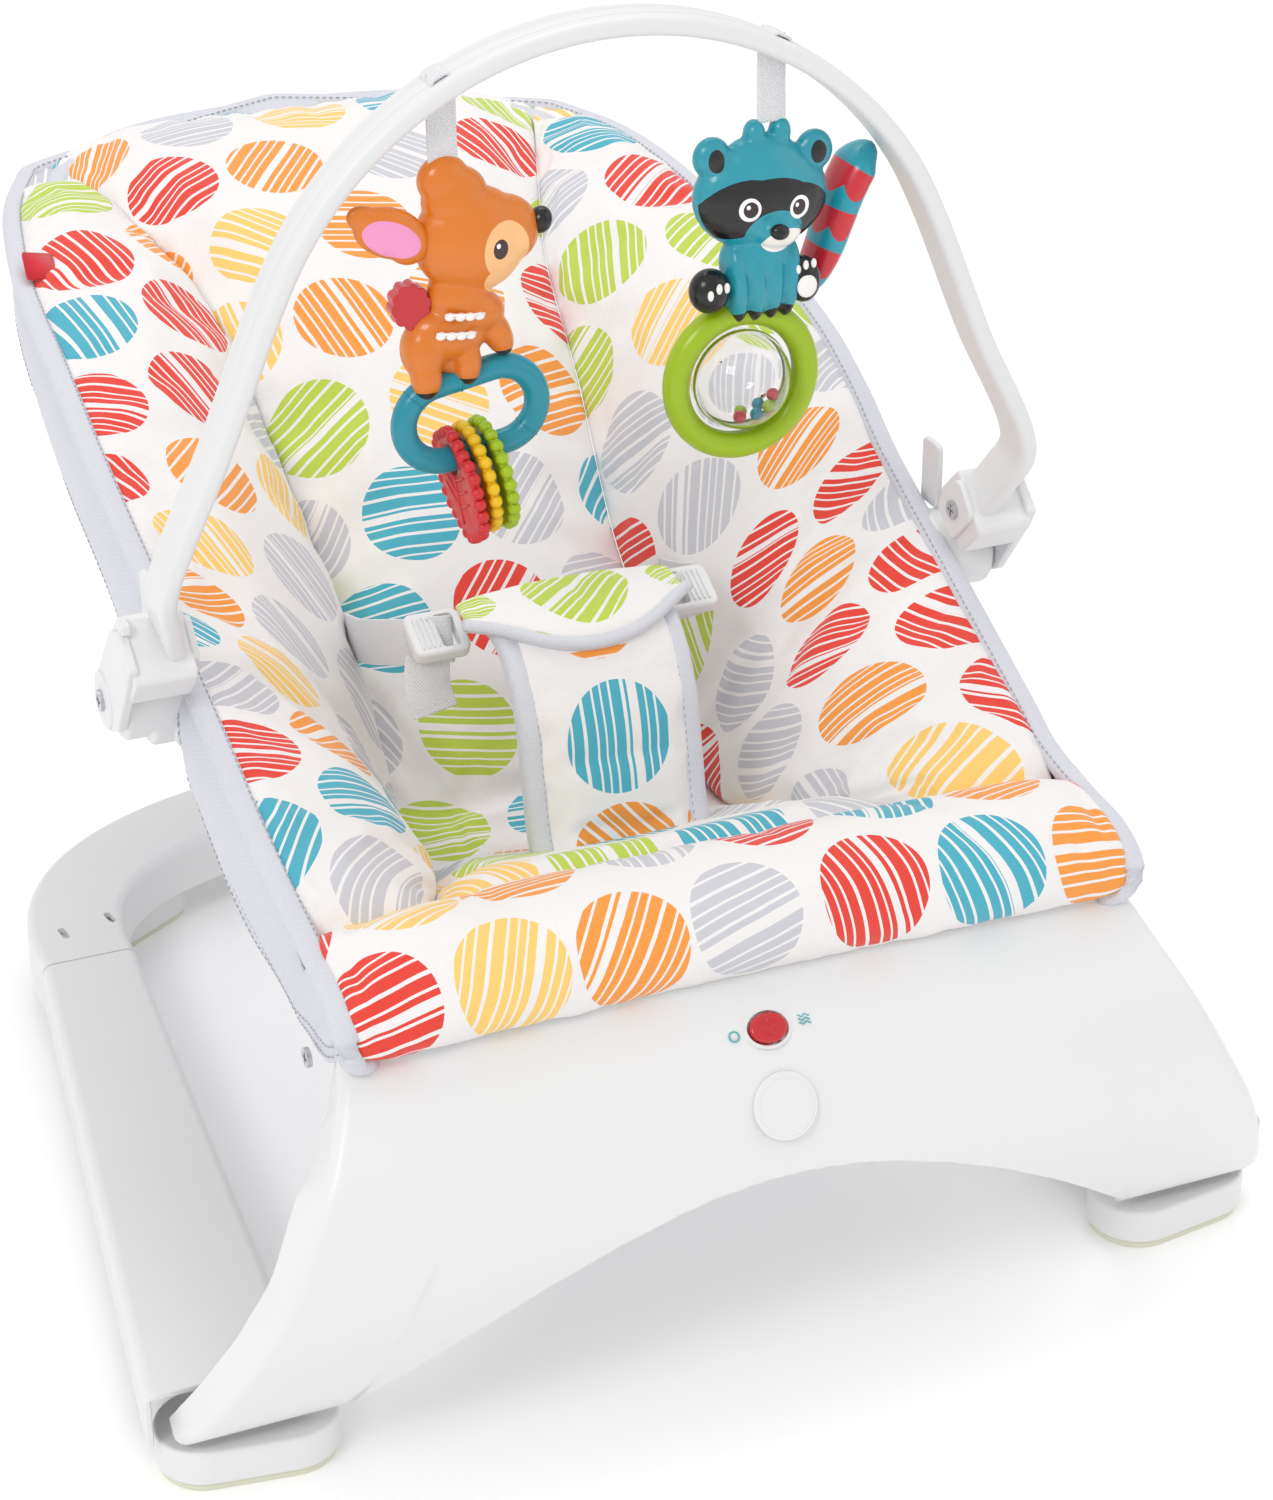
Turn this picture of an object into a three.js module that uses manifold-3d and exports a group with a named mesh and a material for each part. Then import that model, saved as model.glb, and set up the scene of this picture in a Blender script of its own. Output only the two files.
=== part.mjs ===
// Baby bouncer seat: a C-shaped plastic base that carries a sprung, padded sling seat and a toy bar.
// Millimetres, +X to the sitter's left, +Y towards the head end, +Z up. The origin is on the floor,
// in the middle of the object's outer box.
import * as THREE from 'three';
import { mergeVertices } from 'three/addons/utils/BufferGeometryUtils.js';
import Module from 'manifold-3d';

const wasm = await Module();
wasm.setup();

// ---- driving dimensions ---------------------------------------------------------------------
const GAP = 0.4; // clearance between touching pieces
const WALL = 3; // moulded wall thickness
const RAIL_TOP = 45; // height of the base rails' flat top
const RAIL_DEPTH = 25; // height of a rail's side
const RAIL_FRONT_Y = 14;
const RAIL_REAR_Y = 340;
const RAIL_FRONT = { centre: 218.5, half: 32.5 }; // rail's middle and half width at its front end
const RAIL_REAR = { centre: 186.5, half: 22.5 };
const REAR_ARC_DEPTH = 126; // how far the rear bar bows out behind the rails
const REAR_ARC_POWER = 2.6; // superellipse exponent of the rear bar's plan
const FOOT = { length: 74, width: 42, height: 16, sole: 3 };
const FRONT_FOOT = { x: 209, y: 21, turn: 8 };
const REAR_FOOT = { x: 146, y: 437, turn: -32 };
const ARCH = { half: 175, low: 30, rise: 82 }; // arched cut-out under the front panel

const TUBE_R = 8; // seat frame tube
const PIVOT = { x: 184, y: 197, z: 251 }; // toy bar pivot, at the middle of a hinge housing

const BAR_Y = 147; // plane of the toy bar
const BAR_TOP = 521; // middle of the bar at its highest point
const BAR_R = 151; // radius of the bar's round top
const BAR_SPLAY = 23; // lean of the bar's straight sides, degrees
const BAR_WIDTH = 22;
const BAR_THICK = 8;

const TOY_X = 68; // sideways place of each toy strap
const STRAP_TOP = 496.8;

// ---- colours --------------------------------------------------------------------------------
const WHITE = 0xeeeef0;
const GREY_CLOTH = 0xd2d2da;
const PRINT_CLOTH = 0xf4f1ee;
const STEEL = 0xb8bbc0;
const RED = 0xd9322c;
const TEAL = 0x2f9fb5;
const GREEN = 0xa9c51e;
const ORANGE = 0xe0802f;
const YELLOW = 0xf2c530;
const BLACK = 0x1c1c1e;
const CLEAR = 0xdfe6e6;
const WEBBING = 0xf0f0f0;
const SOLE = 0xd9d8c8;
const JACKET = 0x3a3f46;
const BRASS = 0xb59a55;

// ---- helpers --------------------------------------------------------------------------------
const radians = THREE.MathUtils.degToRad;
const X_AXIS = new THREE.Vector3(1, 0, 0);
const Y_AXIS = new THREE.Vector3(0, 1, 0);
const Z_AXIS = new THREE.Vector3(0, 0, 1);
const point = (x, y, z) => new THREE.Vector3(x, y, z);
const flat = (x, y) => new THREE.Vector2(x, y);
const lerp = THREE.MathUtils.lerp;

// Triangles that fill an outline, wound the way the outline runs.
function capFaces(outline) {
  const faces = THREE.ShapeUtils.triangulateShape(outline, []);
  const first = faces[0].map((corner) => outline[corner]);
  const turned = THREE.ShapeUtils.area(first) * THREE.ShapeUtils.area(outline) < 0;
  return turned ? faces.map(([a, b, c]) => [a, c, b]) : faces;
}

// Closed body through cross-sections. A station has an origin, a side and an up direction, and an
// outline of 2-D points measured along them. All outlines have the same number of points.
function sweep(stations, ring = false) {
  const size = stations[0].outline.length;
  const positions = [];
  for (const { origin, side, up, outline } of stations) {
    for (const corner of outline) {
      const place = origin.clone().addScaledVector(side, corner.x).addScaledVector(up, corner.y);
      positions.push(place.x, place.y, place.z);
    }
  }
  const index = [];
  const spans = ring ? stations.length : stations.length - 1;
  for (let span = 0; span < spans; span += 1) {
    const here = span * size;
    const next = ((span + 1) % stations.length) * size;
    for (let corner = 0; corner < size; corner += 1) {
      const after = (corner + 1) % size;
      index.push(here + corner, here + after, next + after, here + corner, next + after, next + corner);
    }
  }
  if (!ring) {
    const last = (stations.length - 1) * size;
    for (const [a, b, c] of capFaces(stations[0].outline)) index.push(a, c, b);
    for (const [a, b, c] of capFaces(stations.at(-1).outline)) index.push(last + a, last + b, last + c);
  }
  const geometry = new THREE.BufferGeometry();
  geometry.setAttribute('position', new THREE.Float32BufferAttribute(positions, 3));
  geometry.setIndex(index);
  return facingOut(geometry);
}

function facingOut(geometry) {
  const place = geometry.attributes.position;
  const [a, b, c] = [new THREE.Vector3(), new THREE.Vector3(), new THREE.Vector3()];
  const index = geometry.index.array;
  let volume = 0;
  for (let i = 0; i < index.length; i += 3) {
    a.fromBufferAttribute(place, index[i]);
    b.fromBufferAttribute(place, index[i + 1]);
    c.fromBufferAttribute(place, index[i + 2]);
    volume += a.dot(b.cross(c));
  }
  if (volume < 0) index.reverse();
  return geometry;
}

function toSolid(geometry) {
  const bare = geometry.clone();
  for (const name of Object.keys(bare.attributes)) {
    if (name !== 'position') bare.deleteAttribute(name);
  }
  const merged = mergeVertices(bare, 1e-3);
  const vertProperties = new Float32Array(merged.attributes.position.array);
  const triVerts = new Uint32Array(merged.index.array);
  return new wasm.Manifold(new wasm.Mesh({ numProp: 3, vertProperties, triVerts }));
}

function fromSolid(solid) {
  const { vertProperties, triVerts } = solid.getMesh();
  const geometry = new THREE.BufferGeometry();
  geometry.setAttribute('position', new THREE.BufferAttribute(vertProperties, 3));
  geometry.setIndex(new THREE.BufferAttribute(triVerts, 1));
  return geometry;
}

function cut(body, ...tools) {
  return fromSolid(tools.reduce((rest, tool) => rest.subtract(toSolid(tool)), toSolid(body)));
}

function join(first, ...others) {
  return fromSolid(others.reduce((sum, other) => sum.add(toSolid(other)), toSolid(first)));
}

// Rounded rectangle outline about the origin.
function roundedOutline(width, height, radius, steps = 3) {
  const outline = [];
  const corners = [[1, 1, 0], [-1, 1, 90], [-1, -1, 180], [1, -1, 270]];
  for (const [sx, sy, start] of corners) {
    for (let step = 0; step <= steps; step += 1) {
      const angle = radians(start + (90 * step) / steps);
      const x = sx * (width / 2 - radius) + radius * Math.cos(angle);
      const y = sy * (height / 2 - radius) + radius * Math.sin(angle);
      outline.push(flat(x, y));
    }
  }
  return outline;
}

function ovalOutline(width, height, count = 20) {
  return Array.from({ length: count }, (_, i) => {
    const angle = (2 * Math.PI * i) / count;
    return flat((width / 2) * Math.cos(angle), (height / 2) * Math.sin(angle));
  });
}

// Channel outline: a flat web at the origin with two walls that run along +up for depth.
function channelOutline(half, depth, wall = WALL) {
  const round = Math.min(wall * 1.6, depth * 0.45);
  const arc = [];
  for (let step = 0; step <= 3; step += 1) {
    const angle = radians(30 * step);
    arc.push([round * (1 - Math.sin(angle)), round * (1 - Math.cos(angle))]);
  }
  const right = arc.map(([x, y]) => flat(half - x, y)).reverse();
  const left = arc.map(([x, y]) => flat(-half + x, y));
  const inside = half - wall;
  const inner = [flat(-inside, depth), flat(-inside, wall), flat(inside, wall), flat(inside, depth)];
  // runs: right wall's foot, round corner, web, round corner, left wall's foot, then back inside
  return [flat(half, depth), ...right, ...left, flat(-half, depth), ...inner];
}

// A prism with a 2-D outline, its middle at `origin`, running `length` both ways along `axis`.
function prism(outline, origin, side, up, length) {
  const axis = new THREE.Vector3().crossVectors(side, up).normalize();
  const ends = [-0.5, 0.5].map((part) => ({
    origin: origin.clone().addScaledVector(axis, part * length),
    side,
    up,
    outline,
  }));
  return sweep(ends);
}

// A block with rounded edges along Z.
function block([wide, deep, high], centre, radius = 3) {
  return prism(roundedOutline(wide, deep, radius, 2), centre, X_AXIS, Y_AXIS, high);
}

function rod(from, to, radius, count = 14) {
  const axis = to.clone().sub(from).normalize();
  const side = new THREE.Vector3().crossVectors(axis, Math.abs(axis.z) > 0.9 ? X_AXIS : Z_AXIS).normalize();
  const up = new THREE.Vector3().crossVectors(axis, side).normalize();
  const outline = ovalOutline(2 * radius, 2 * radius, count);
  return sweep([from, to].map((origin) => ({ origin, side, up, outline })));
}

// A round or shaped bar along a curve, with its `up` side held as close to `upHint` as it can be.
function along(curve, steps, outlineAt, upHint, ring = false) {
  const stations = [];
  const count = ring ? steps : steps + 1;
  for (let step = 0; step < count; step += 1) {
    const t = step / steps;
    const tangent = curve.getTangentAt(t);
    const side = new THREE.Vector3().crossVectors(upHint, tangent).normalize();
    const up = new THREE.Vector3().crossVectors(tangent, side).normalize();
    stations.push({ origin: curve.getPointAt(t), side, up, outline: outlineAt(t) });
  }
  return sweep(stations, ring);
}

const smooth = (points, ring = false) => new THREE.CatmullRomCurve3(points, ring, 'centripetal');
const ball = (radii, centre, columns = 12, rows = 8) =>
  new THREE.SphereGeometry(1, columns, rows).scale(...radii).translate(...centre);
const mirrored = (geometry) => {
  const copy = geometry.clone().scale(-1, 1, 1);
  if (!copy.index) copy.setIndex(Array.from({ length: copy.attributes.position.count }, (_, i) => i));
  return facingOut(copy);
};

const bouncer = new THREE.Group();
function add(name, geometry, color, roughness = 0.5, metalness = 0) {
  const mesh = new THREE.Mesh(geometry, new THREE.MeshStandardMaterial({ color, roughness, metalness }));
  mesh.name = name;
  bouncer.add(mesh);
}
// A right-hand piece and its mirror image on the left.
function addPair(name, geometry, ...look) {
  add(`right_${name}`, geometry, ...look);
  add(`left_${name}`, mirrored(geometry), ...look);
}

// ---- seat frame tube: a long U that plugs into the top of the front shell ---------------------
const rightSide = [
  point(152, 12, 165),
  point(161, 90, 198),
  point(165, 160, 227.5),
  point(167.5, 230, 257),
  point(168.5, 334, 300),
  point(164, 410, 318),
  point(154, 470, 330.5),
  point(132, 530, 343),
  point(84, 577, 350),
];
const tubePath = smooth([
  ...rightSide,
  point(0, 590, 352),
  ...rightSide.toReversed().map((p) => point(-p.x, p.y, p.z)),
]);
function tube(radius, count = 10) {
  return along(tubePath, 44, () => ovalOutline(2 * radius, 2 * radius, count), Z_AXIS);
}
add('seat_frame_tube', tube(TUBE_R), STEEL, 0.3, 0.9);

// Tube's place on the right-hand side at a given distance y.
function tubeAt(y) {
  for (let i = 1; i < rightSide.length; i += 1) {
    const [a, b] = [rightSide[i - 1], rightSide[i]];
    if (y <= b.y) {
      const t = (y - a.y) / (b.y - a.y);
      return { x: lerp(a.x, b.x, t), z: lerp(a.z, b.z, t) };
    }
  }
  return rightSide.at(-1);
}

// ---- base: front shell ------------------------------------------------------------------------
// Profile of the C: y and z of the outer face, half width there, and depth of the side walls.
const shellProfile = [
  { y: 44, z: 188, half: 163, depth: 8 },
  { y: 20, z: 187, half: 165, depth: 12 },
  { y: 5, z: 180, half: 169, depth: 28 },
  { y: -8, z: 169, half: 174, depth: 36 },
  { y: -26, z: 144, half: 187, depth: 33 },
  { y: -34, z: 108, half: 205, depth: 18 },
  { y: -30, z: 82, half: 218, depth: 16 },
  { y: -20, z: 58, half: 229, depth: 16 },
  { y: -7, z: 36, half: 238, depth: 15 },
  { y: 8, z: 22, half: 241, depth: 12 },
];
const shellCurve = smooth(shellProfile.map(({ y, z }) => point(0, y, z)));
const shellSteps = 26;
const shellStations = [];
for (let step = 0; step <= shellSteps; step += 1) {
  const t = step / shellSteps;
  const exact = shellCurve.getUtoTmapping(t) * (shellProfile.length - 1);
  const low = Math.min(Math.floor(exact), shellProfile.length - 2);
  const part = exact - low;
  const half = lerp(shellProfile[low].half, shellProfile[low + 1].half, part);
  const depth = lerp(shellProfile[low].depth, shellProfile[low + 1].depth, part);
  const tangent = shellCurve.getTangentAt(t);
  const inward = new THREE.Vector3().crossVectors(tangent, X_AXIS).normalize().negate();
  const outline = channelOutline(half, depth);
  shellStations.push({ origin: shellCurve.getPointAt(t), side: X_AXIS, up: inward, outline });
}
const archShape = [];
for (let step = 0; step <= 18; step += 1) {
  const share = lerp(-1, 1, step / 18);
  archShape.push(flat(share * ARCH.half, ARCH.low + ARCH.rise * (1 - share * share)));
}
const archOutline = [flat(-ARCH.half, -20), ...archShape, flat(ARCH.half, -20)];
const archCutter = prism(archOutline, point(0, 0, 0), X_AXIS, Z_AXIS, 140);

const buttonSpot = point(0, -10.6, 165.6); // on the panel's outer face
const buttonNormal = point(0, -0.66, 0.75).normalize();
const buttonUp = new THREE.Vector3().crossVectors(buttonNormal, X_AXIS).normalize();
// An oval plate on the panel, between two heights over its outer face.
function oval(width, height, from, to, origin = buttonSpot, normal = buttonNormal, up = buttonUp) {
  const centre = origin.clone().addScaledVector(normal, (from + to) / 2);
  return prism(ovalOutline(width, height, 24), centre, X_AXIS, up, to - from);
}
const shell = cut(
  sweep(shellStations),
  archCutter,
  oval(17.4, 14, -12, 8),
  tube(TUBE_R + 2.6, 12),
);
add('front_base_shell', shell, WHITE, 0.25);

// ---- base: rails, rear bar, feet ----------------------------------------------------------------
const railOutline = (half) => channelOutline(half, RAIL_DEPTH);
const railStations = [RAIL_FRONT_Y, RAIL_REAR_Y - GAP].map((y) => {
  const t = (y - RAIL_FRONT_Y) / (RAIL_REAR_Y - RAIL_FRONT_Y);
  return {
    origin: point(lerp(RAIL_FRONT.centre, RAIL_REAR.centre, t), y, RAIL_TOP),
    side: X_AXIS,
    up: point(0, 0, -1),
    outline: railOutline(lerp(RAIL_FRONT.half, RAIL_REAR.half, t)),
  };
});
addPair('side_rail', sweep(railStations), WHITE, 0.25);

const rearStations = [];
const rearSteps = 28;
for (let step = 0; step <= rearSteps; step += 1) {
  const angle = (Math.PI * step) / rearSteps;
  const spread = (value) => Math.sign(value) * Math.abs(value) ** (2 / REAR_ARC_POWER);
  const x = RAIL_REAR.centre * spread(Math.cos(angle));
  const y = RAIL_REAR_Y + REAR_ARC_DEPTH * spread(Math.sin(angle));
  const outline = railOutline(RAIL_REAR.half + 3 * Math.sin(angle));
  rearStations.push({ origin: point(x, y, RAIL_TOP), up: point(0, 0, -1), outline });
}
rearStations.forEach((station, i) => {
  const before = rearStations[Math.max(i - 1, 0)].origin;
  const after = rearStations[Math.min(i + 1, rearSteps)].origin;
  const tangent = i === 0 || i === rearSteps ? point(0, 1, 0) : after.clone().sub(before).normalize();
  if (i === rearSteps) tangent.negate();
  station.side = new THREE.Vector3().crossVectors(tangent, Z_AXIS).normalize();
});
add('rear_base_bar', sweep(rearStations), WHITE, 0.25);

function pad({ x, y, turn }, width, depth, low, high) {
  const side = point(Math.cos(radians(turn)), Math.sin(radians(turn)), 0);
  const up = point(-side.y, side.x, 0);
  const outline = roundedOutline(width, depth, depth / 2 - 0.5, 5);
  return prism(outline, point(x, y, (low + high) / 2), side, up, high - low);
}
const footTop = FOOT.sole + GAP + FOOT.height;
for (const [place, spot] of [['front', FRONT_FOOT], ['rear', REAR_FOOT]]) {
  addPair(`${place}_foot`, pad(spot, FOOT.length, FOOT.width, FOOT.sole + GAP, footTop), WHITE, 0.3);
  addPair(`${place}_foot_sole`, pad(spot, FOOT.length - 3, FOOT.width - 3, 0, FOOT.sole), SOLE, 0.7);
}

// ---- base: vibration unit behind the front panel ------------------------------------------------
const unit = { x: 52, low: 132, high: 168, front: 10, back: 48 };
const unitMiddle = point(0, (unit.front + unit.back) / 2, (unit.low + unit.high) / 2);
const unitSize = [2 * unit.x, unit.back - unit.front, unit.high - unit.low];
const unitWall = 2.4;
const doorThick = 2.4;
const CELL = { from: -46, to: 2, radius: 12.8 }; // a size-C cell's body lies along X
const MOTOR = { y: 29, z: 150, from: 7, to: 31, radius: 10 };
const SHAFT = { to: 46, radius: 1.2, clearance: 1.5 };
const onMotor = (x) => point(x, MOTOR.y, MOTOR.z);
const cavity = block(
  [unitSize[0] - 2 * unitWall, unitSize[1] - 2 * unitWall, unitSize[2]],
  point(0, unitMiddle.y, unitMiddle.z - unitWall),
  1.5,
);
add('vibration_housing', cut(block(unitSize, unitMiddle, 4), cavity), WHITE, 0.5);
const doorSpot = point(0, unitMiddle.y, unit.low - doorThick / 2 - GAP);
add('battery_door', block([unitSize[0] - 2, unitSize[1] - 2, doorThick], doorSpot, 3), WHITE, 0.5);
const cellEnds = [CELL.from, CELL.to].map((x) => point(x, MOTOR.y, MOTOR.z - 1));
add('battery_cell', rod(...cellEnds, CELL.radius, 20), JACKET, 0.4, 0.3);
add('vibration_motor', rod(onMotor(MOTOR.from), onMotor(MOTOR.to), MOTOR.radius, 18), STEEL, 0.35, 0.9);
add('motor_shaft', rod(onMotor(MOTOR.to + GAP), onMotor(SHAFT.to), SHAFT.radius, 10), STEEL, 0.3, 0.9);
// Half-disc weight on the shaft, with a short hub above the middle.
const weightRadius = 9;
const weightHub = { half: 4, rise: 3 };
const weightOutline = [];
for (let step = 0; step <= 12; step += 1) {
  const angle = radians(180 + 15 * step);
  weightOutline.push(flat(weightRadius * Math.cos(angle), weightRadius * Math.sin(angle)));
}
weightOutline.push(flat(weightHub.half, weightHub.rise), flat(-weightHub.half, weightHub.rise));
const weightBlank = prism(weightOutline, onMotor(38.5), Y_AXIS, Z_AXIS, 9);
const shaftHole = rod(onMotor(MOTOR.to - 1), onMotor(SHAFT.to + 4), SHAFT.clearance, 12);
add('eccentric_weight', cut(weightBlank, shaftHole), BRASS, 0.35, 0.9);
const switchSpot = buttonSpot.clone().addScaledVector(buttonNormal, -11.2);
const switchSize = prism(roundedOutline(15, 12, 1, 2), switchSpot, X_AXIS, buttonUp, 4);
add('power_switch', switchSize, BLACK, 0.5);

add('power_button', oval(15.8, 12.4, -6, 2.2), RED, 0.3);
const emblemNormal = point(0, -0.9, 0.436).normalize();
const emblemUp = new THREE.Vector3().crossVectors(emblemNormal, X_AXIS).normalize();
add('emblem_disc', oval(27, 27, 0.9, 2.6, point(0, -27, 140), emblemNormal, emblemUp), WHITE, 0.25);

// ---- seat frame: its screws and the hinge housings ----------------------------------------------
addPair('frame_screw', rod(point(173.6, 30, 172), point(176.2, 30, 172), 4, 12), STEEL, 0.3, 0.9);

const drumOut = 13; // how far the drum's outer face stands beyond the pivot
const drum = rod(point(PIVOT.x - 14, PIVOT.y, PIVOT.z), point(PIVOT.x + drumOut, PIVOT.y, PIVOT.z), 18, 24);
const saddle = block([26, 34, 26], point(PIVOT.x - 10, PIVOT.y + 2, PIVOT.z - 7), 5);
const housing = cut(join(drum, saddle), tube(TUBE_R + GAP, 12));
addPair('hinge_housing', housing, WHITE, 0.3);

// ---- toy bar ------------------------------------------------------------------------------------
const splay = radians(BAR_SPLAY);
const barCentre = BAR_TOP - BAR_R;
const shoulder = { x: BAR_R * Math.cos(splay), z: barCentre + BAR_R * Math.sin(splay) };
const kneeZ = 320;
const kneeX = shoulder.x + (shoulder.z - kneeZ) * Math.tan(splay);
const barPoints = [];
for (let step = 0; step <= 14; step += 1) {
  const angle = lerp(splay, Math.PI - splay, step / 14);
  barPoints.push(point(BAR_R * Math.cos(angle), BAR_Y, barCentre + BAR_R * Math.sin(angle)));
}
const barFoot = [
  point(179.5, 170, 283),
  point(184.5, 157, 302),
  point(kneeX + 1.5, BAR_Y, kneeZ),
  point((kneeX + shoulder.x) / 2, BAR_Y, (kneeZ + shoulder.z) / 2),
];
const barPath = smooth([...barFoot, ...barPoints, ...barFoot.toReversed().map((p) => point(-p.x, p.y, p.z))]);
const barOutline = roundedOutline(BAR_THICK, BAR_WIDTH, 2.6, 2);
add('toy_bar', along(barPath, 44, () => barOutline, Y_AXIS), WHITE, 0.28);

// Bracket: a forked plate on the outer end of the hinge housing, with a socket for the bar's foot.
const bracketThick = 4;
const bracketX = PIVOT.x + drumOut + GAP + bracketThick / 2;
const bracketOutline = [
  flat(PIVOT.y + 10, PIVOT.z - 8),
  flat(PIVOT.y + 12, PIVOT.z + 6),
  flat(PIVOT.y + 2, PIVOT.z + 16),
  flat(PIVOT.y - 20, PIVOT.z + 40),
  flat(PIVOT.y - 44, PIVOT.z + 32),
  flat(PIVOT.y - 18, PIVOT.z - 6),
  flat(PIVOT.y - 6, PIVOT.z - 12),
];
const bracketPlate = prism(bracketOutline, point(bracketX, 0, 0), Y_AXIS, Z_AXIS, bracketThick);
const socketUp = point(0, -1, 1).normalize(); // along the foot of the bar
const socketSide = new THREE.Vector3().crossVectors(socketUp, X_AXIS);
const socketLow = PIVOT.x - 10;
const socket = prism(
  roundedOutline(30, 22, 4, 2),
  point((socketLow + bracketX) / 2, 170, 281),
  socketSide,
  socketUp,
  bracketX - socketLow,
);
const screwSpot = point(PIVOT.x, PIVOT.y, PIVOT.z);
const bracket = cut(
  join(bracketPlate, socket),
  rod(screwSpot, screwSpot.clone().add(point(40, 0, 0)), 3.6, 14),
  along(barPath, 52, () => roundedOutline(BAR_THICK + 2 * GAP, BAR_WIDTH + 2 * GAP, 2, 2), Y_AXIS),
);
addPair('toy_bar_bracket', bracket, WHITE, 0.28);
const headX = bracketX + bracketThick / 2 + GAP;
const screw = join(
  rod(point(bracketX - bracketThick / 2, PIVOT.y, PIVOT.z), point(headX + 1, PIVOT.y, PIVOT.z), 3.1, 14),
  rod(point(headX, PIVOT.y, PIVOT.z), point(headX + 2.4, PIVOT.y, PIVOT.z), 5, 14),
);
addPair('bracket_screw', screw, STEEL, 0.3, 0.9);

// ---- padded sling -------------------------------------------------------------------------------
// Middle line of the seating surface, and the half width of the panel between the side wings.
const slab = (path, halfAt, thick, steps) =>
  along(path, steps, (t) => roundedOutline(2 * halfAt(t), thick, thick * 0.42, 2), Z_AXIS);
const widths = (list) => (t) => {
  const exact = t * (list.length - 1);
  const low = Math.min(Math.floor(exact), list.length - 2);
  return lerp(list[low], list[low + 1], exact - low);
};
const SLING_DROP = 8; // half the sling's thickness, below the seating surface
const slingLine = (pairs) => smooth(pairs.map(([y, z]) => point(0, y, z - SLING_DROP)));
const backLine = slingLine([[232, 142], [270, 185], [315, 230], [373, 281], [430, 316], [500, 346], [554, 357]]);
add('back_pad', slab(backLine, widths([66, 62, 60, 64, 74, 90, 82]), 14, 18), PRINT_CLOTH, 0.9);
const seatLine = slingLine([[86, 195], [112, 176], [140, 156], [172, 142], [206, 130]]);
add('seat_pad', slab(seatLine, widths([96, 86, 78, 72, 66]), 13, 12), PRINT_CLOTH, 0.9);

const rollOutline = [
  flat(2, 185), flat(-1, 194), flat(6, 208), flat(24, 220), flat(46, 223), flat(65, 217),
  flat(76, 205), flat(74, 195), flat(46, 193), flat(18, 191.5),
];
const rollEnd = rollOutline.map((p) => flat(lerp(p.x, 36, 0.2), lerp(p.y, 204, 0.2)));
const rollStations = [
  [-148, rollEnd], [-138, rollOutline], [138, rollOutline], [148, rollEnd],
].map(([x, outline]) => ({ origin: point(x, 0, 0), side: Y_AXIS, up: Z_AXIS, outline }));
add('front_roll', sweep(rollStations), PRINT_CLOTH, 0.9);

// Side wing: from the tube down to the edge of the back and seat panels.
const wingRows = [
  { y: 88, inner: 104, low: 203 },
  { y: 140, inner: 88, low: 172 },
  { y: 205, inner: 76, low: 142 },
  { y: 262, inner: 71, low: 186 },
  { y: 337, inner: 70, low: 254 },
  { y: 403, inner: 83, low: 306 },
  { y: 458, inner: 100, low: 332 },
  { y: 505, inner: 112, low: 352 },
];
const wingStations = wingRows.map(({ y, inner, low }) => {
  const { x, z } = tubeAt(y);
  const foot = flat(inner, low);
  const top = flat(x - 22, z + 9);
  const rising = top.clone().sub(foot).normalize();
  const under = flat(rising.y, -rising.x).multiplyScalar(12);
  const middle = foot.clone().lerp(top, 0.5);
  return {
    origin: point(0, y, 0),
    side: X_AXIS,
    up: Z_AXIS,
    outline: [
      foot,
      middle.clone().addScaledVector(under, -0.25),
      top,
      top.clone().add(under),
      middle.clone().addScaledVector(under, 1.1),
      foot.clone().add(under),
    ],
  };
});
addPair('side_wing', sweep(wingStations), PRINT_CLOTH, 0.9);

// Sleeve: the grey outer side of the cover that hides the tube, notched round the hinge housing.
const sleeveRows = [
  [58, 10], [110, 10], [134, 8], [150, -4], [172, -10], [175, -24], [221, -24], [224, 10], [300, 10], [370, 10],
  [430, 10], [466, 9],
];
const sleeveStations = sleeveRows.map(([y, top]) => {
  const { x, z } = tubeAt(y);
  const bottom = z - 44;
  const outer = x + TUBE_R + 2.2;
  return {
    origin: point(outer, y, 0),
    side: X_AXIS,
    up: Z_AXIS,
    outline: [flat(0, bottom), flat(2.4, bottom), flat(2.4, z + top), flat(0, z + top)],
  };
});
addPair('side_sleeve', sweep(sleeveStations), GREY_CLOTH, 0.9);

// ---- restraint: crotch pad, flap, waist belts and buckles ---------------------------------------
const padLine = [[135, 169], [146, 198], [153, 230], [170, 252], [200, 258]];
const padCurve = (offset, from = 0, to = 1) => {
  const base = smooth(padLine.map(([y, z]) => point(0, y, z)));
  return smooth(Array.from({ length: 9 }, (_, i) => {
    const t = lerp(from, to, i / 8);
    const tangent = base.getTangentAt(t);
    return base.getPointAt(t).addScaledVector(point(0, -tangent.z, tangent.y), offset);
  }));
};
add('crotch_pad', slab(padCurve(0), () => 40, 12, 10), PRINT_CLOTH, 0.9);
add('crotch_flap', slab(padCurve(9.5, 0.5, 1.0), () => 50, 4, 8), PRINT_CLOTH, 0.9);

const buckleSize = [24, 22, 9];
addPair('buckle', block(buckleSize, point(57, 200, 247), 3), WHITE, 0.3);
const BELT = { width: 22, thick: 1.8 };
const beltPath = smooth([point(72, 216, 243), point(73.5, 240, 234), point(73.5, 268, 226)]);
const beltOutline = roundedOutline(BELT.thick, BELT.width, 0.6, 1);
addPair('waist_belt', along(beltPath, 6, () => beltOutline, Z_AXIS), WEBBING, 0.9);

// ---- hanging toys -------------------------------------------------------------------------------
const fawnX = -TOY_X;
const raccoonX = TOY_X;
const strap = (x, length) =>
  prism(roundedOutline(11, 1.6, 0.6, 1), point(x, BAR_Y, STRAP_TOP - length / 2), X_AXIS, Y_AXIS, length);

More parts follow.
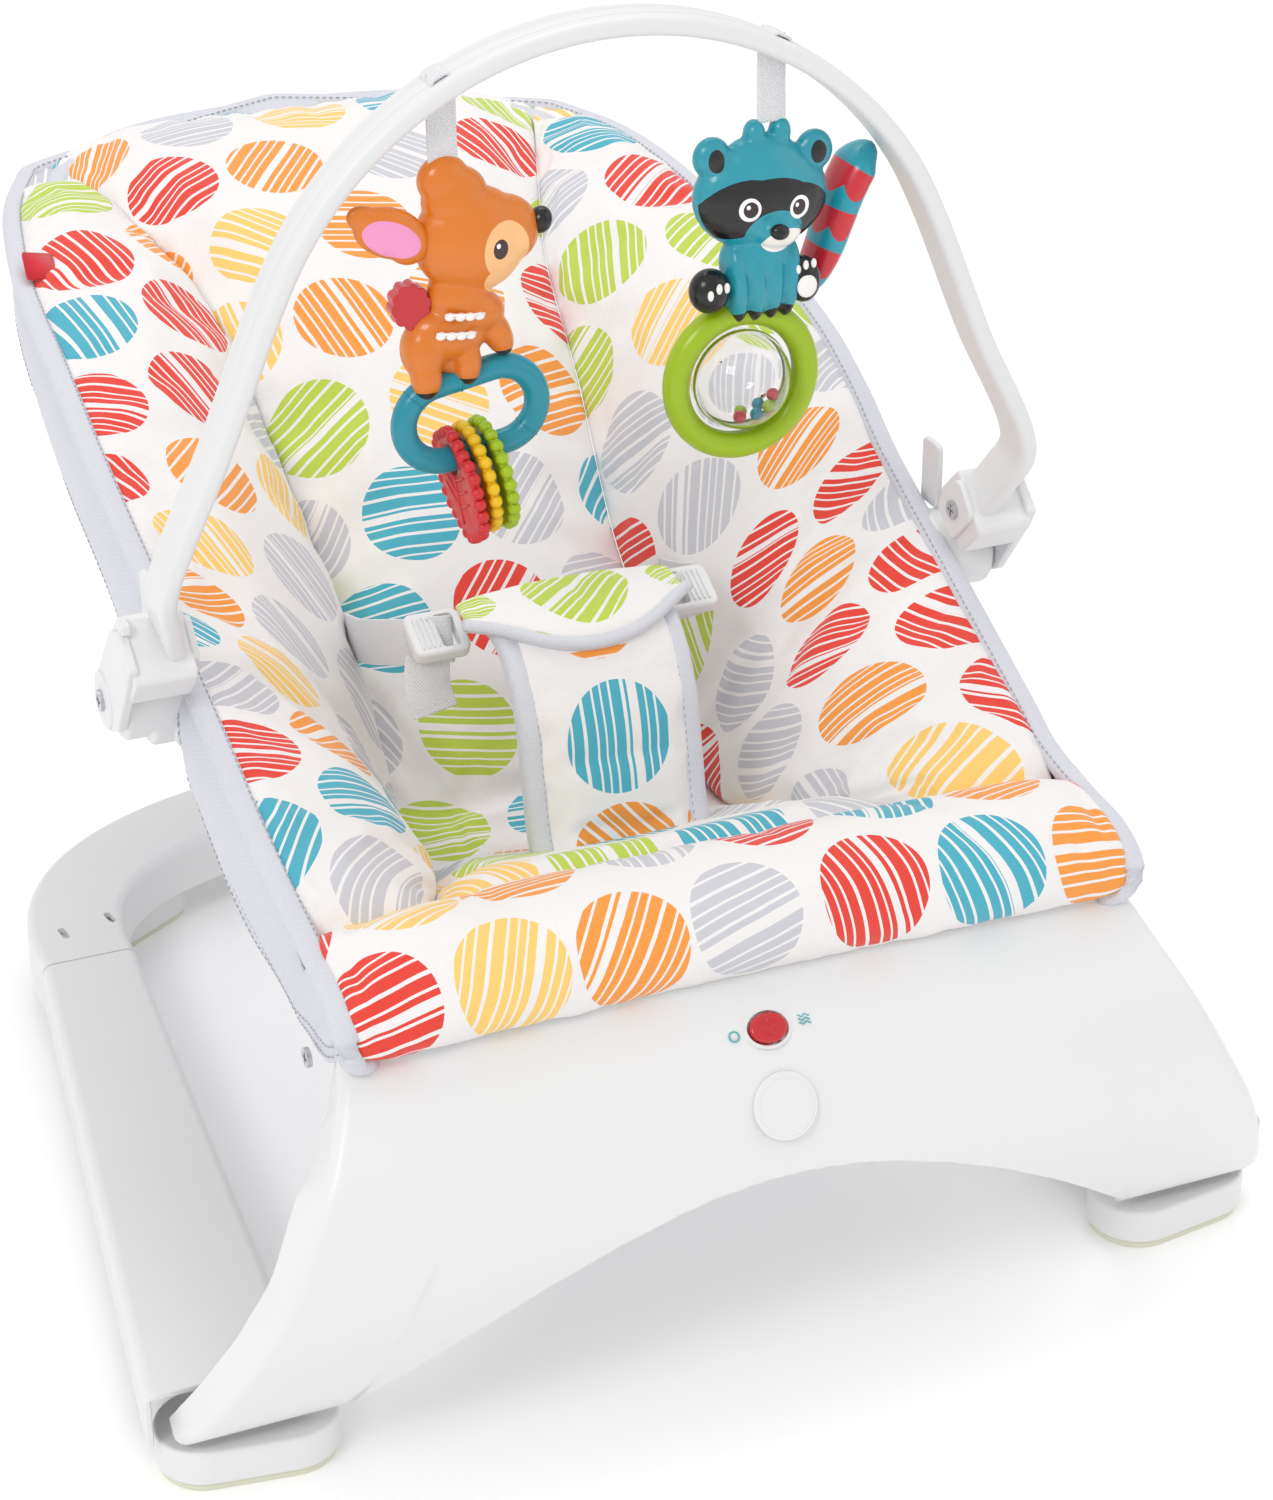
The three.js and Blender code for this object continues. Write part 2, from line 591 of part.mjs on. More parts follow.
const fawnStrap = 19;
add('fawn_strap', strap(fawnX, fawnStrap), WEBBING, 0.9);
const fawnTop = STRAP_TOP - fawnStrap - GAP;
const toyBall = (x, z, radii, columns, rows) => ball(radii, [x, BAR_Y, z], columns, rows);
const inToyPlane = ([x, z]) => point(x, BAR_Y, z);
const toyRod = (from, to, radius) => rod(inToyPlane(from), inToyPlane(to), radius, 12);
const fawnParts = [
  toyBall(fawnX, fawnTop - 11.5, [10, 9, 11.5]), // crown
  toyBall(-57, fawnTop - 34, [19.5, 12, 20]), // head
  toyBall(-41, fawnTop - 31, [11, 9, 9.5]), // snout
  toyRod([-58, fawnTop - 50], [-61, fawnTop - 66], 9), // neck
  toyBall(-65, fawnTop - 68.5, [18, 10, 11.5]), // trunk
  toyBall(-76, fawnTop - 72.5, [9.5, 9, 11.5]), // rump
];
add('fawn_body', join(...fawnParts), ORANGE, 0.35);
add('fawn_ear', ball([14, 4, 10], [-91.5, BAR_Y - 3, fawnTop - 27]), ORANGE, 0.35);
add('fawn_tail_tag', ball([5.5, 3, 8], [-89, BAR_Y, fawnTop - 55], 10, 7), RED, 0.4);

// Loop under the fawn: a round bar bent into a tilted stadium.
const loopTilt = radians(10);
const loopDirection = point(Math.cos(loopTilt), 0, Math.sin(loopTilt));
const loopRise = point(-Math.sin(loopTilt), 0, Math.cos(loopTilt));
const loopCentre = point(-59, BAR_Y, 372);
const loopHalf = 12;
const loopRound = 16;
const loopTube = 4.8;
const loopPoint = (alongLoop, across) =>
  loopCentre.clone().addScaledVector(loopDirection, alongLoop).addScaledVector(loopRise, across);
const loopPath = new THREE.CurvePath();
loopPath.add(new THREE.LineCurve3(loopPoint(-loopHalf, -loopRound), loopPoint(loopHalf, -loopRound)));
const loopArc = (sign) => smooth(Array.from({ length: 7 }, (_, i) => {
  const angle = radians(-90 + 30 * i);
  return loopPoint(sign * (loopHalf + loopRound * Math.cos(angle)), sign * loopRound * Math.sin(angle));
}));
loopPath.add(loopArc(1));
loopPath.add(new THREE.LineCurve3(loopPoint(loopHalf, loopRound), loopPoint(-loopHalf, loopRound)));
loopPath.add(loopArc(-1));
const loopOutline = ovalOutline(2 * loopTube, 2 * loopTube, 10);
add('fawn_loop', along(loopPath, 38, () => loopOutline, Y_AXIS, true), TEAL, 0.35);

// Teethers: scalloped discs that hang by a hole near their edge from the loop's lower bar.
const teetherHole = 6;
const teetherThick = 5.5;
const teetherRim = 12.5; // from the hole's middle up to the disc's edge
const teetherRest = loopTube - teetherHole + 0.3; // how far the hole's middle hangs below the bar's
function teether(place, radius, waves, depth) {
  const barSpot = loopPoint(place, -loopRound);
  const outline = Array.from({ length: 36 }, (_, i) => {
    const angle = (2 * Math.PI * i) / 36;
    const reach = radius * (1 + depth * Math.cos(waves * angle));
    return flat(reach * Math.sin(angle), reach * Math.cos(angle) + teetherRim - radius + teetherRest);
  });
  const hole = ovalOutline(2 * teetherHole, 2 * teetherHole, 18).map((p) => flat(p.x, p.y + teetherRest));
  const disc = prism(outline, barSpot, Y_AXIS, loopRise, teetherThick);
  return cut(disc, prism(hole, barSpot, Y_AXIS, loopRise, 2 * teetherThick));
}
add('leaf_teether', teether(-10, 24, 6, 0.05), RED, 0.45);
add('yellow_teether', teether(-3, 22.5, 12, 0.03), YELLOW, 0.45);
add('green_teether', teether(4, 23, 12, 0.03), GREEN, 0.45);

const raccoonStrap = 20;
add('raccoon_strap', strap(raccoonX, raccoonStrap), WEBBING, 0.9);
const raccoonTop = STRAP_TOP - raccoonStrap - GAP;
const raccoonParts = [
  toyBall(64, raccoonTop - 31.5, [29, 14, 24.5], 16, 12), // head
  toyBall(raccoonX, raccoonTop - 7.5, [7, 6, 7.5]), // lug
  toyBall(43, raccoonTop - 14.5, [8, 5, 8], 10, 8), // ears
  toyBall(87, raccoonTop - 16, [8, 5, 8], 10, 8),
  toyBall(63, raccoonTop - 65.5, [15, 11, 16.5]), // trunk
  toyBall(43.5, raccoonTop - 69, [8.2, 8, 8.2], 12, 8), // paws
  toyBall(81.5, raccoonTop - 73, [8, 7, 9.5], 12, 8),
];
add('raccoon_body', join(...raccoonParts), TEAL, 0.35);
const tailBack = 11; // how far behind the trunk the tail stands
const tailPath = smooth([
  point(89, BAR_Y + tailBack, raccoonTop - 78),
  point(98, BAR_Y + tailBack, raccoonTop - 64),
  point(102, BAR_Y + tailBack, raccoonTop - 46),
  point(105, BAR_Y + tailBack, raccoonTop - 26),
]);
const tailOutline = (t) => ovalOutline(9, 11 + 9 * Math.sin(Math.PI * t), 12); // fullest halfway up
add('raccoon_tail', along(tailPath, 8, tailOutline, Y_AXIS), TEAL, 0.35);

const ringMajor = 28.5;
const ringTube = 5.5;
const raccoonBase = raccoonTop - 82.4;
const ringCentre = point(57, BAR_Y, raccoonBase - 25.3);
const ring = new THREE.TorusGeometry(ringMajor, ringTube, 10, 30).rotateX(Math.PI / 2);
ring.translate(ringCentre.x, ringCentre.y, ringCentre.z);
const ringGap = block([60, 30, 20], point(ringCentre.x, BAR_Y, raccoonBase - GAP + 10), 0.5);
add('rattle_ring', cut(ring, ringGap), GREEN, 0.35); // its ends stop just under the body

// Clear ball inside the ring: two half shells, with two beads loose inside it.
const BALL_R = 20.5;
const ballWall = 1.3;
const ballRows = 6;
function halfBall(front) {
  const edge = radians(1.2); // leaves a fine gap between the halves
  const arc = (radius) => Array.from({ length: ballRows + 1 }, (_, step) => {
    const angle = lerp(edge, Math.PI / 2, step / ballRows);
    return flat(step === ballRows ? 0 : radius * Math.cos(angle), radius * Math.sin(angle));
  });
  const outer = arc(BALL_R);
  const profile = [...outer, ...arc(BALL_R - ballWall).reverse(), outer[0].clone()];
  const cup = new THREE.LatheGeometry(profile, 16);
  if (front) cup.rotateX(Math.PI);
  return cup.translate(ringCentre.x, ringCentre.y, ringCentre.z);
}
add('rattle_ball_front', halfBall(true), CLEAR, 0.1);
add('rattle_ball_back', halfBall(false), CLEAR, 0.1);
const beadR = 2.6;
for (const [name, x, color] of [['rattle_bead_red', -4, RED], ['rattle_bead_teal', 4, TEAL]]) {
  add(name, ball([beadR, beadR, beadR], [ringCentre.x + x, BAR_Y, ringCentre.z - 15], 8, 6), color, 0.3);
}

// ---- place the origin under the middle of the object --------------------------------------------
const overall = new THREE.Box3().setFromObject(bouncer);
const middle = overall.getCenter(new THREE.Vector3());
bouncer.position.set(-middle.x, -middle.y, -overall.min.z);

export default bouncer;
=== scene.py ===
"""Looks of a baby bouncer seat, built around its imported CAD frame."""
import math

import bmesh
import bpy
import numpy as np
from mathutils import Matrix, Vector


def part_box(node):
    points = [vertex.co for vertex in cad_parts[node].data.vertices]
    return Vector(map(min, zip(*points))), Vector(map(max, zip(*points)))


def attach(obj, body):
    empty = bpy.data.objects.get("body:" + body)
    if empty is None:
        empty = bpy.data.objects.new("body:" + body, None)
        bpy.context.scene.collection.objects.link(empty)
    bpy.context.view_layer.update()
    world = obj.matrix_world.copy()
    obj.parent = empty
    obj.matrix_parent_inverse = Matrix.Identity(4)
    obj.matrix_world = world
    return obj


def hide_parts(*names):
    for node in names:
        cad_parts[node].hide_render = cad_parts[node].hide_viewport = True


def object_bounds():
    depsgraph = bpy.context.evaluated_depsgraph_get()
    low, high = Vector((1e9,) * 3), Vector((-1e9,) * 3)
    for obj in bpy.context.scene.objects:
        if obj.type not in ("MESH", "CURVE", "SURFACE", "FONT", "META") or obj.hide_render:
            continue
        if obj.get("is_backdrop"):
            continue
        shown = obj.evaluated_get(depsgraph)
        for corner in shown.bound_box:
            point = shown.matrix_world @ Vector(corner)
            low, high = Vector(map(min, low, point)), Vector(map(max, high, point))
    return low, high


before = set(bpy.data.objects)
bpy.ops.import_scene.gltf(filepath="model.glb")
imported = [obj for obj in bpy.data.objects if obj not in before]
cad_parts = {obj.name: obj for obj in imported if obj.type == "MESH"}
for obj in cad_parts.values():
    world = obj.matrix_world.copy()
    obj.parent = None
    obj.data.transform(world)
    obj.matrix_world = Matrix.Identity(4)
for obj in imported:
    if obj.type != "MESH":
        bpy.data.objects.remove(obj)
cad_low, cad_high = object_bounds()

# ---- drawing frame: millimetres, y = 0 at the front feet's front edge ---------------------------
MM = 0.001
RAIL_FRONT_Y = 14
SHIFT_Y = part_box("right_side_rail")[0].y / MM - RAIL_FRONT_Y
X = np.array([1.0, 0.0, 0.0])
Y = np.array([0.0, 1.0, 0.0])
Z = np.array([0.0, 0.0, 1.0])
SIDES = ((1, "right"), (-1, "left"))
FACE_AREA_WEIGHT = 80
STREAKS = (400, 400, 40)


def metres(points):
    """Drawing frame points, in metres in the row frame."""
    return (np.asarray(points, float) + np.array([0, SHIFT_Y, 0])) * MM


def unit(v):
    return v / np.maximum(np.linalg.norm(v, axis=-1, keepdims=True), 1e-9)


def lerp(a, b, t):
    return a + (b - a) * t


def mirror(points):
    return np.asarray(points, float) * np.array([-1.0, 1.0, 1.0])


# ---- camera -------------------------------------------------------------------------------------
def make_camera():
    """A studio camera that looks down on the seat from its front left."""
    azimuth = math.radians(-22.9)
    elevation = math.radians(28)
    distance = 1.611
    target = Vector((0.076, 0.0186, 0.120))
    back = Vector((
        math.sin(azimuth) * math.cos(elevation),
        -math.cos(azimuth) * math.cos(elevation),
        math.sin(elevation),
    ))
    data = bpy.data.cameras.new("camera")
    data.lens = 81.14
    camera = bpy.data.objects.new("camera", data)
    camera.location = target + back * distance
    camera.rotation_mode = "QUATERNION"
    camera.rotation_quaternion = (-back).to_track_quat("-Z", "Y")
    bpy.context.scene.collection.objects.link(camera)
    bpy.context.scene.camera = camera


make_camera()


# ---- curves and meshes --------------------------------------------------------------------------
def distance_along(points):
    return np.r_[0, np.cumsum(np.linalg.norm(np.diff(points, axis=0), axis=1))]


def round_turn(count):
    """Evenly spaced angles of a whole turn."""
    return np.linspace(0, 2 * math.pi, count, endpoint=False)


def even(points, count):
    """The same line with `count` evenly spaced points."""
    steps = distance_along(points)
    wanted = np.linspace(0, steps[-1], count)
    return np.stack([np.interp(wanted, steps, points[:, k]) for k in range(points.shape[1])], 1)


def spline(points, count, ring=False):
    """Evenly spaced points along a centripetal Catmull-Rom curve."""
    p = np.asarray(points, float)
    if ring:
        p = np.vstack([p[-1], p, p[0], p[1]])
    else:
        p = np.vstack([2 * p[0] - p[1], p, 2 * p[-1] - p[-2]])
    s = np.linspace(0, 1, 24, endpoint=False)[:, None]
    dense = []
    for a, b, c, d in zip(p, p[1:], p[2:], p[3:]):
        ta, tb, tc = (max(np.linalg.norm(q), 1e-6) ** 0.5 for q in (b - a, c - b, d - c))
        m1 = ((b - a) / ta - (c - a) / (ta + tb) + (c - b) / tb) * tb
        m2 = ((c - b) / tb - (d - b) / (tb + tc) + (d - c) / tc) * tb
        dense.append(
            (2 * s**3 - 3 * s**2 + 1) * b + (s**3 - 2 * s**2 + s) * m1
            + (3 * s**2 - 2 * s**3) * c + (s**3 - s**2) * m2
        )
    dense = np.vstack(dense + [p[-2][None]])
    return even(dense, count + 1)[:-1] if ring else even(dense, count)


def table(rows, count):
    """A smooth line through rows of numbers, with the row number as its parameter."""
    rows = np.asarray(rows, float)
    t = np.linspace(0, len(rows) - 1, count)
    low = np.minimum(t.astype(int), len(rows) - 2)
    s = (t - low)[:, None]
    padded = np.vstack([2 * rows[0] - rows[1], rows, 2 * rows[-1] - rows[-2]])
    a, b, c, d = (padded[low + k] for k in range(4))
    square, cube = 2 * a - 5 * b + 4 * c - d, 3 * b - a - 3 * c + d
    return 0.5 * (2 * b + (c - a) * s + square * s**2 + cube * s**3)


def quads(rows, cols, ring_rows=False, ring_cols=False):
    faces = []
    for r in range(rows if ring_rows else rows - 1):
        for c in range(cols if ring_cols else cols - 1):
            below = (r + 1) % rows * cols
            beside = (c + 1) % cols
            faces.append((r * cols + c, r * cols + beside, below + beside, below + c))
    return faces


def face_outwards(mesh):
    work = bmesh.new()
    work.from_mesh(mesh)
    bmesh.ops.recalc_face_normals(work, faces=work.faces)
    work.to_mesh(mesh)
    work.free()


def make(name, points, faces, material, uv=None, closed=True):
    """A smooth-shaded mesh object. `points` are in the drawing frame, and `uv` has one pair a point."""
    mesh = bpy.data.meshes.new(name)
    mesh.from_pydata(metres(points).tolist(), [], faces)
    if uv is not None:
        layer = mesh.uv_layers.new(name="cloth")
        index = np.zeros(len(mesh.loops), int)
        mesh.loops.foreach_get("vertex_index", index)
        layer.data.foreach_set("uv", (np.asarray(uv) * MM)[index].ravel())
    if closed:
        face_outwards(mesh)
    mesh.shade_smooth()
    made = bpy.data.objects.new(name, mesh)
    bpy.context.scene.collection.objects.link(made)
    for one in material if isinstance(material, list) else [material]:
        mesh.materials.append(one)
    return made


def directions(path, up, ring=False):
    """Side and up directions along a path, the second as near to `up` as it can be."""
    if ring:
        tangent = np.roll(path, -1, 0) - np.roll(path, 1, 0)
    else:
        tangent = np.gradient(path, axis=0)
    tangent = unit(tangent)
    side = unit(np.cross(np.broadcast_to(up, path.shape), tangent))
    return side, np.cross(tangent, side)


def sweep(name, path, outline, up, material, ring=False, uv=False):
    """A closed body: one outline, or one for each point, carried along a path."""
    path = np.asarray(path, float)
    side, lift = directions(path, up, ring)
    outline = np.asarray(outline, float)
    if outline.ndim == 2:
        outline = np.broadcast_to(outline, (len(path),) + outline.shape)
    points = path[:, None] + outline[..., :1] * side[:, None] + outline[..., 1:] * lift[:, None]
    rows, cols = points.shape[:2]
    faces = quads(rows, cols, ring, True)
    if not ring:
        faces.append(tuple(range(cols)))
        faces.append(tuple(range((rows - 1) * cols, rows * cols)))
    pairs = None
    if uv:
        run = distance_along(path)
        round_it = distance_along(outline[0])
        pairs = np.stack(np.broadcast_arrays(round_it[None, :], run[:, None]), -1).reshape(-1, 2)
    return make(name, points.reshape(-1, 3), faces, material, pairs)


def oval(width, height, count=24):
    angle = round_turn(count)
    return np.stack([width / 2 * np.cos(angle), height / 2 * np.sin(angle)], 1)


def rounded(width, height, radius, steps=5):
    """Rounded rectangle outline about the origin."""
    outline = []
    for sx, sy, start in ((1, 1, 0), (-1, 1, 90), (-1, -1, 180), (1, -1, 270)):
        for step in range(steps + 1):
            angle = math.radians(start + 90 * step / steps)
            outline.append((
                sx * (width / 2 - radius) + radius * math.cos(angle),
                sy * (height / 2 - radius) + radius * math.sin(angle),
            ))
    return np.array(outline)


def hoop(name, outline, centre, side, up, section, lift, material):
    """A thin ring: `section` carried round a closed 2-D outline about `centre`."""
    line = np.array([centre + side * a + up * b for a, b in outline])
    return sweep(name, line, section, lift, material, ring=True)


def slab(name, outline, centre, side, up, depth, material, edge=0.0):
    """A plate with a 2-D outline, its middle at `centre`, with rounded edges `edge` wide."""
    side, up = unit(np.asarray(side, float)), unit(np.asarray(up, float))
    axis = np.cross(side, up)
    outline = np.asarray(outline, float)
    flat = np.asarray(centre, float) + outline[:, :1] * side + outline[:, 1:] * up
    points = np.vstack([flat - axis * depth / 2, flat + axis * depth / 2])
    count = len(outline)
    faces = quads(2, count, False, True) + [tuple(range(count)), tuple(range(count, 2 * count))]
    made = make(name, points, faces, material)
    if edge:
        bevel(made, edge)
    return made


def bevel(thing, width, segments=3, angle=35):
    step = thing.modifiers.new("Bevel", "BEVEL")
    step.width = width * MM
    step.segments = segments
    step.limit_method = "ANGLE"
    step.angle_limit = math.radians(angle)
    step.harden_normals = False
    auto_smooth(thing)


def auto_smooth(thing):
    """Keeps flat faces flat beside rounded edges."""
    step = thing.modifiers.new("Weighted", "WEIGHTED_NORMAL")
    step.keep_sharp = False
    step.weight = FACE_AREA_WEIGHT


def subdivide(thing):
    step = thing.modifiers.new("Subdivision", "SUBSURF")
    step.levels = step.render_levels = 1


def bake(thing):
    """Applies a piece's modifiers to its mesh."""
    bpy.context.view_layer.update()
    seen = thing.evaluated_get(bpy.context.evaluated_depsgraph_get())
    mesh = bpy.data.meshes.new_from_object(seen)
    thing.modifiers.clear()
    thing.data = mesh
    return thing


def carve(thing, *cutters):
    """Cuts the cutters out of a piece and removes them."""
    for cutter in cutters:
        step = thing.modifiers.new("Cut", "BOOLEAN")
        step.object = cutter
        step.solver = "EXACT"
    bake(thing)
    for cutter in cutters:
        bpy.data.objects.remove(cutter)
    return thing


def merge(name, parts):
    """One object from several, with each part's own materials."""
    for part in parts:
        if part.modifiers:
            bake(part)
    with bpy.context.temp_override(active_object=parts[0], selected_editable_objects=parts):
        bpy.ops.object.join()
    parts[0].name = name
    parts[0].data.name = name
    return parts[0]


def ellipsoid(centre, radii, turn=0.0, columns=24, rows=16):
    """Points and faces of an ellipsoid, turned about Y by `turn` degrees."""
    phi = np.linspace(0, math.pi, rows + 1)[1:-1]
    theta = round_turn(columns)
    body = np.stack([
        np.outer(np.sin(phi), np.cos(theta)),
        np.outer(np.sin(phi), np.sin(theta)),
        np.outer(np.cos(phi), np.ones(columns)),
    ], -1).reshape(-1, 3)
    points = np.vstack([body, [0, 0, 1], [0, 0, -1]]) * np.asarray(radii, float)
    a = math.radians(turn)
    spin = np.array([[math.cos(a), 0, math.sin(a)], [0, 1, 0], [-math.sin(a), 0, math.cos(a)]])
    points = points @ spin.T + np.asarray(centre, float)
    faces = quads(rows - 1, columns, False, True)
    top, base = len(body), len(body) + 1
    for c in range(columns):
        beside = (c + 1) % columns
        faces.append((top, beside, c))
        last = (rows - 2) * columns
        faces.append((base, last + c, last + beside))
    return points, faces


def ball(name, centre, radii, material, turn=0.0, columns=24, rows=16):
    points, faces = ellipsoid(centre, radii, turn, columns, rows)
    return make(name, points, faces, material)


def moulded(name, parts, material, voxel=0.9, smooth=6):
    """One smooth moulded body from overlapping ellipsoids: (centre, radii, turn) each."""
    points, faces, start = [], [], 0
    for centre, radii, turn in parts:
        more, round_it = ellipsoid(centre, radii, turn)
        points.append(more)
        faces += [tuple(i + start for i in face) for face in round_it]
        start += len(more)
    made = make(name, np.vstack(points), faces, material)
    remesh = made.modifiers.new("Remesh", "REMESH")
    remesh.mode = "VOXEL"
    remesh.voxel_size = voxel * MM
    remesh.use_smooth_shade = True
    soften = made.modifiers.new("Smooth", "SMOOTH")
    soften.factor = 0.6
    soften.iterations = smooth
    bake(made)
    made.data.shade_smooth()
    return made


def place(piece, body, slot, *stands_for):
    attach(piece, body)
    if stands_for:
        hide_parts(*stands_for)
    return piece


# ---- materials ----------------------------------------------------------------------------------
def rgb(red, green, blue):
    """Linear colour from screen values of 0 to 255."""
    def linear(v):
        v /= 255
        return v / 12.92 if v < 0.04045 else ((v + 0.055) / 1.055) ** 2.4
    return (linear(red), linear(green), linear(blue), 1.0)


def darker(colour, share):
    return tuple(share * c for c in colour[:3]) + (1,)


RED = rgb(226, 62, 48)
ORANGE = rgb(242, 152, 62)
YELLOW = rgb(247, 203, 112)
GREEN = rgb(186, 208, 76)
TEAL = rgb(72, 171, 192)
GREY = rgb(200, 200, 207)
GROUND = rgb(240, 237, 235)
PIPING = rgb(217, 218, 226)


class Number:
    """A number in a material's node tree. Sums on it become Math nodes."""

    def __init__(self, paint, socket):
        self.paint = paint
        self.socket = socket

    def to(self, operation, *others):
        return self.paint.sum(operation, self, *others)

    def __add__(self, other):
        return self.to("ADD", other)

    def __sub__(self, other):
        return self.to("SUBTRACT", other)

    def __mul__(self, other):
        return self.to("MULTIPLY", other)

    def __truediv__(self, other):
        return self.to("DIVIDE", other)

    def __lt__(self, other):
        return self.to("LESS_THAN", other)

    def __gt__(self, other):
        return self.to("GREATER_THAN", other)


class Paint:
    """A material's node tree with short ways to add to it."""

    def __init__(self, name, colour, roughness, **sockets):
        self.material = bpy.data.materials.new(name)
        self.material.use_nodes = True
        self.tree = self.material.node_tree
        self.shader = self.tree.nodes["Principled BSDF"]
        self.shader.inputs["Base Color"].default_value = colour
        self.shader.inputs["Roughness"].default_value = roughness
        for key, value in sockets.items():
            self.shader.inputs[key.replace("_", " ")].default_value = value

    def node(self, kind, inputs=(), **settings):
        made = self.tree.nodes.new(kind)
        for key, value in settings.items():
            setattr(made, key, value)
        for key, value in dict(inputs).items():
            self.feed(made.inputs[key], value)
        return made

    def feed(self, socket, value):
        if isinstance(value, Number):
            value = value.socket
        if isinstance(value, bpy.types.NodeSocket):
            self.tree.links.new(value, socket)
        else:
            socket.default_value = value

    def sum(self, operation, *values):
        made = self.node("ShaderNodeMath", operation=operation)
        for socket, value in zip(made.inputs, values):
            self.feed(socket, value)
        return Number(self, made.outputs[0])

    def blend(self, share, a, b):
        made = self.node("ShaderNodeMix", data_type="RGBA")
        self.feed(made.inputs["Factor"], share)
        self.feed(made.inputs["A"], a)
        self.feed(made.inputs["B"], b)
        return made.outputs["Result"]

    def spread(self, value, low, high, to_low, to_high):
        inputs = {0: value, 1: low, 2: high, 3: to_low, 4: to_high}
        return self.node("ShaderNodeMapRange", inputs).outputs[0]

    def where(self, kind="Object"):
        """Coordinates: "Object" in metres in the row frame, "UV" in metres along the cloth."""
        return self.node("ShaderNodeTexCoord").outputs[kind]

    def split(self, vector):
        return [Number(self, part) for part in self.node("ShaderNodeSeparateXYZ", {0: vector}).outputs]

    def noise(self, vector, scale, detail=2.0, roughness=0.5):
        inputs = {"Vector": vector, "Scale": scale, "Detail": detail, "Roughness": roughness}
        return Number(self, self.node("ShaderNodeTexNoise", inputs).outputs["Fac"])

    def bump(self, height, distance, strength=1.0, normal=None):
        inputs = {"Height": height, "Distance": distance, "Strength": strength}
        made = self.node("ShaderNodeBump", inputs)
        if normal is not None:
            self.feed(made.inputs["Normal"], normal)
        return made.outputs[0]

    def finish(self, **links):
        for key, value in links.items():
            self.feed(self.shader.inputs[key.replace("_", " ")], value)
        return self.material


def plastic(name, colour, roughness=0.3, grain=0.00002, **sockets):
    """Moulded plastic: slight flow marks in colour, uneven gloss, faint orange peel."""
    p = Paint(name, colour, roughness, **sockets)
    spot = p.where()
    flow = p.noise(spot, 7, 2)
    colour_out = p.blend(flow, darker(colour, 0.95), colour)
    wear = p.spread(p.noise(spot, 24, 3, 0.5), 0.25, 0.75, roughness * 0.9, roughness * 1.15)
    peel = p.bump(p.noise(spot, 900, 2), grain, 0.6)
    return p.finish(Base_Color=colour_out, Roughness=wear, Normal=peel)


def weave_height(p, spot, pitch):
    """Over and under threads, whichever way the surface faces."""
    x, y, z = [(axis * (2 * math.pi / pitch)).to("SINE") for axis in p.split(spot)]
    return (x * y + y * z) + x * z


def cloth(name, colour, pitch=0.0011):
    """Plain woven cloth, matt, with a soft sheen."""
    p = Paint(name, colour, 0.85, Sheen_Weight=0.25, Sheen_Roughness=0.5)
    spot = p.where()
    threads = weave_height(p, spot, pitch)
    # painted shade: the colour is darker where the weave's threads dip, mixed with random tone from noise
    shade = p.spread(threads + p.noise(spot, 45, 4), -0.6, 1.6, 0.0, 1.0)
    rough = p.spread(p.noise(spot, 90, 3), 0.3, 0.7, 0.78, 0.92)
    colour_out = p.blend(shade, darker(colour, 0.88), colour)
    return p.finish(Base_Color=colour_out, Roughness=rough, Normal=p.bump(threads, 0.00012, 0.5))


# the print, in metres along the cloth
DISC_R = 0.0228
DISC_PITCH = 0.0545
ROW_PITCH = 0.0515
DISC_DRIFT = (0.006, 0.004)  # how far a disc may be off its place
STRIPE_PITCH = 0.0047
STRIPE_WOBBLE = 0.0018
GAP_LEVEL = 0.74  # a stripe's gap is where its wave is above this
WIDE_GAP = 0.0017  # half width of the one wide gap in a disc
DISC_COLOURS = [GREY, RED, YELLOW, TEAL, ORANGE, GREEN, GREY]


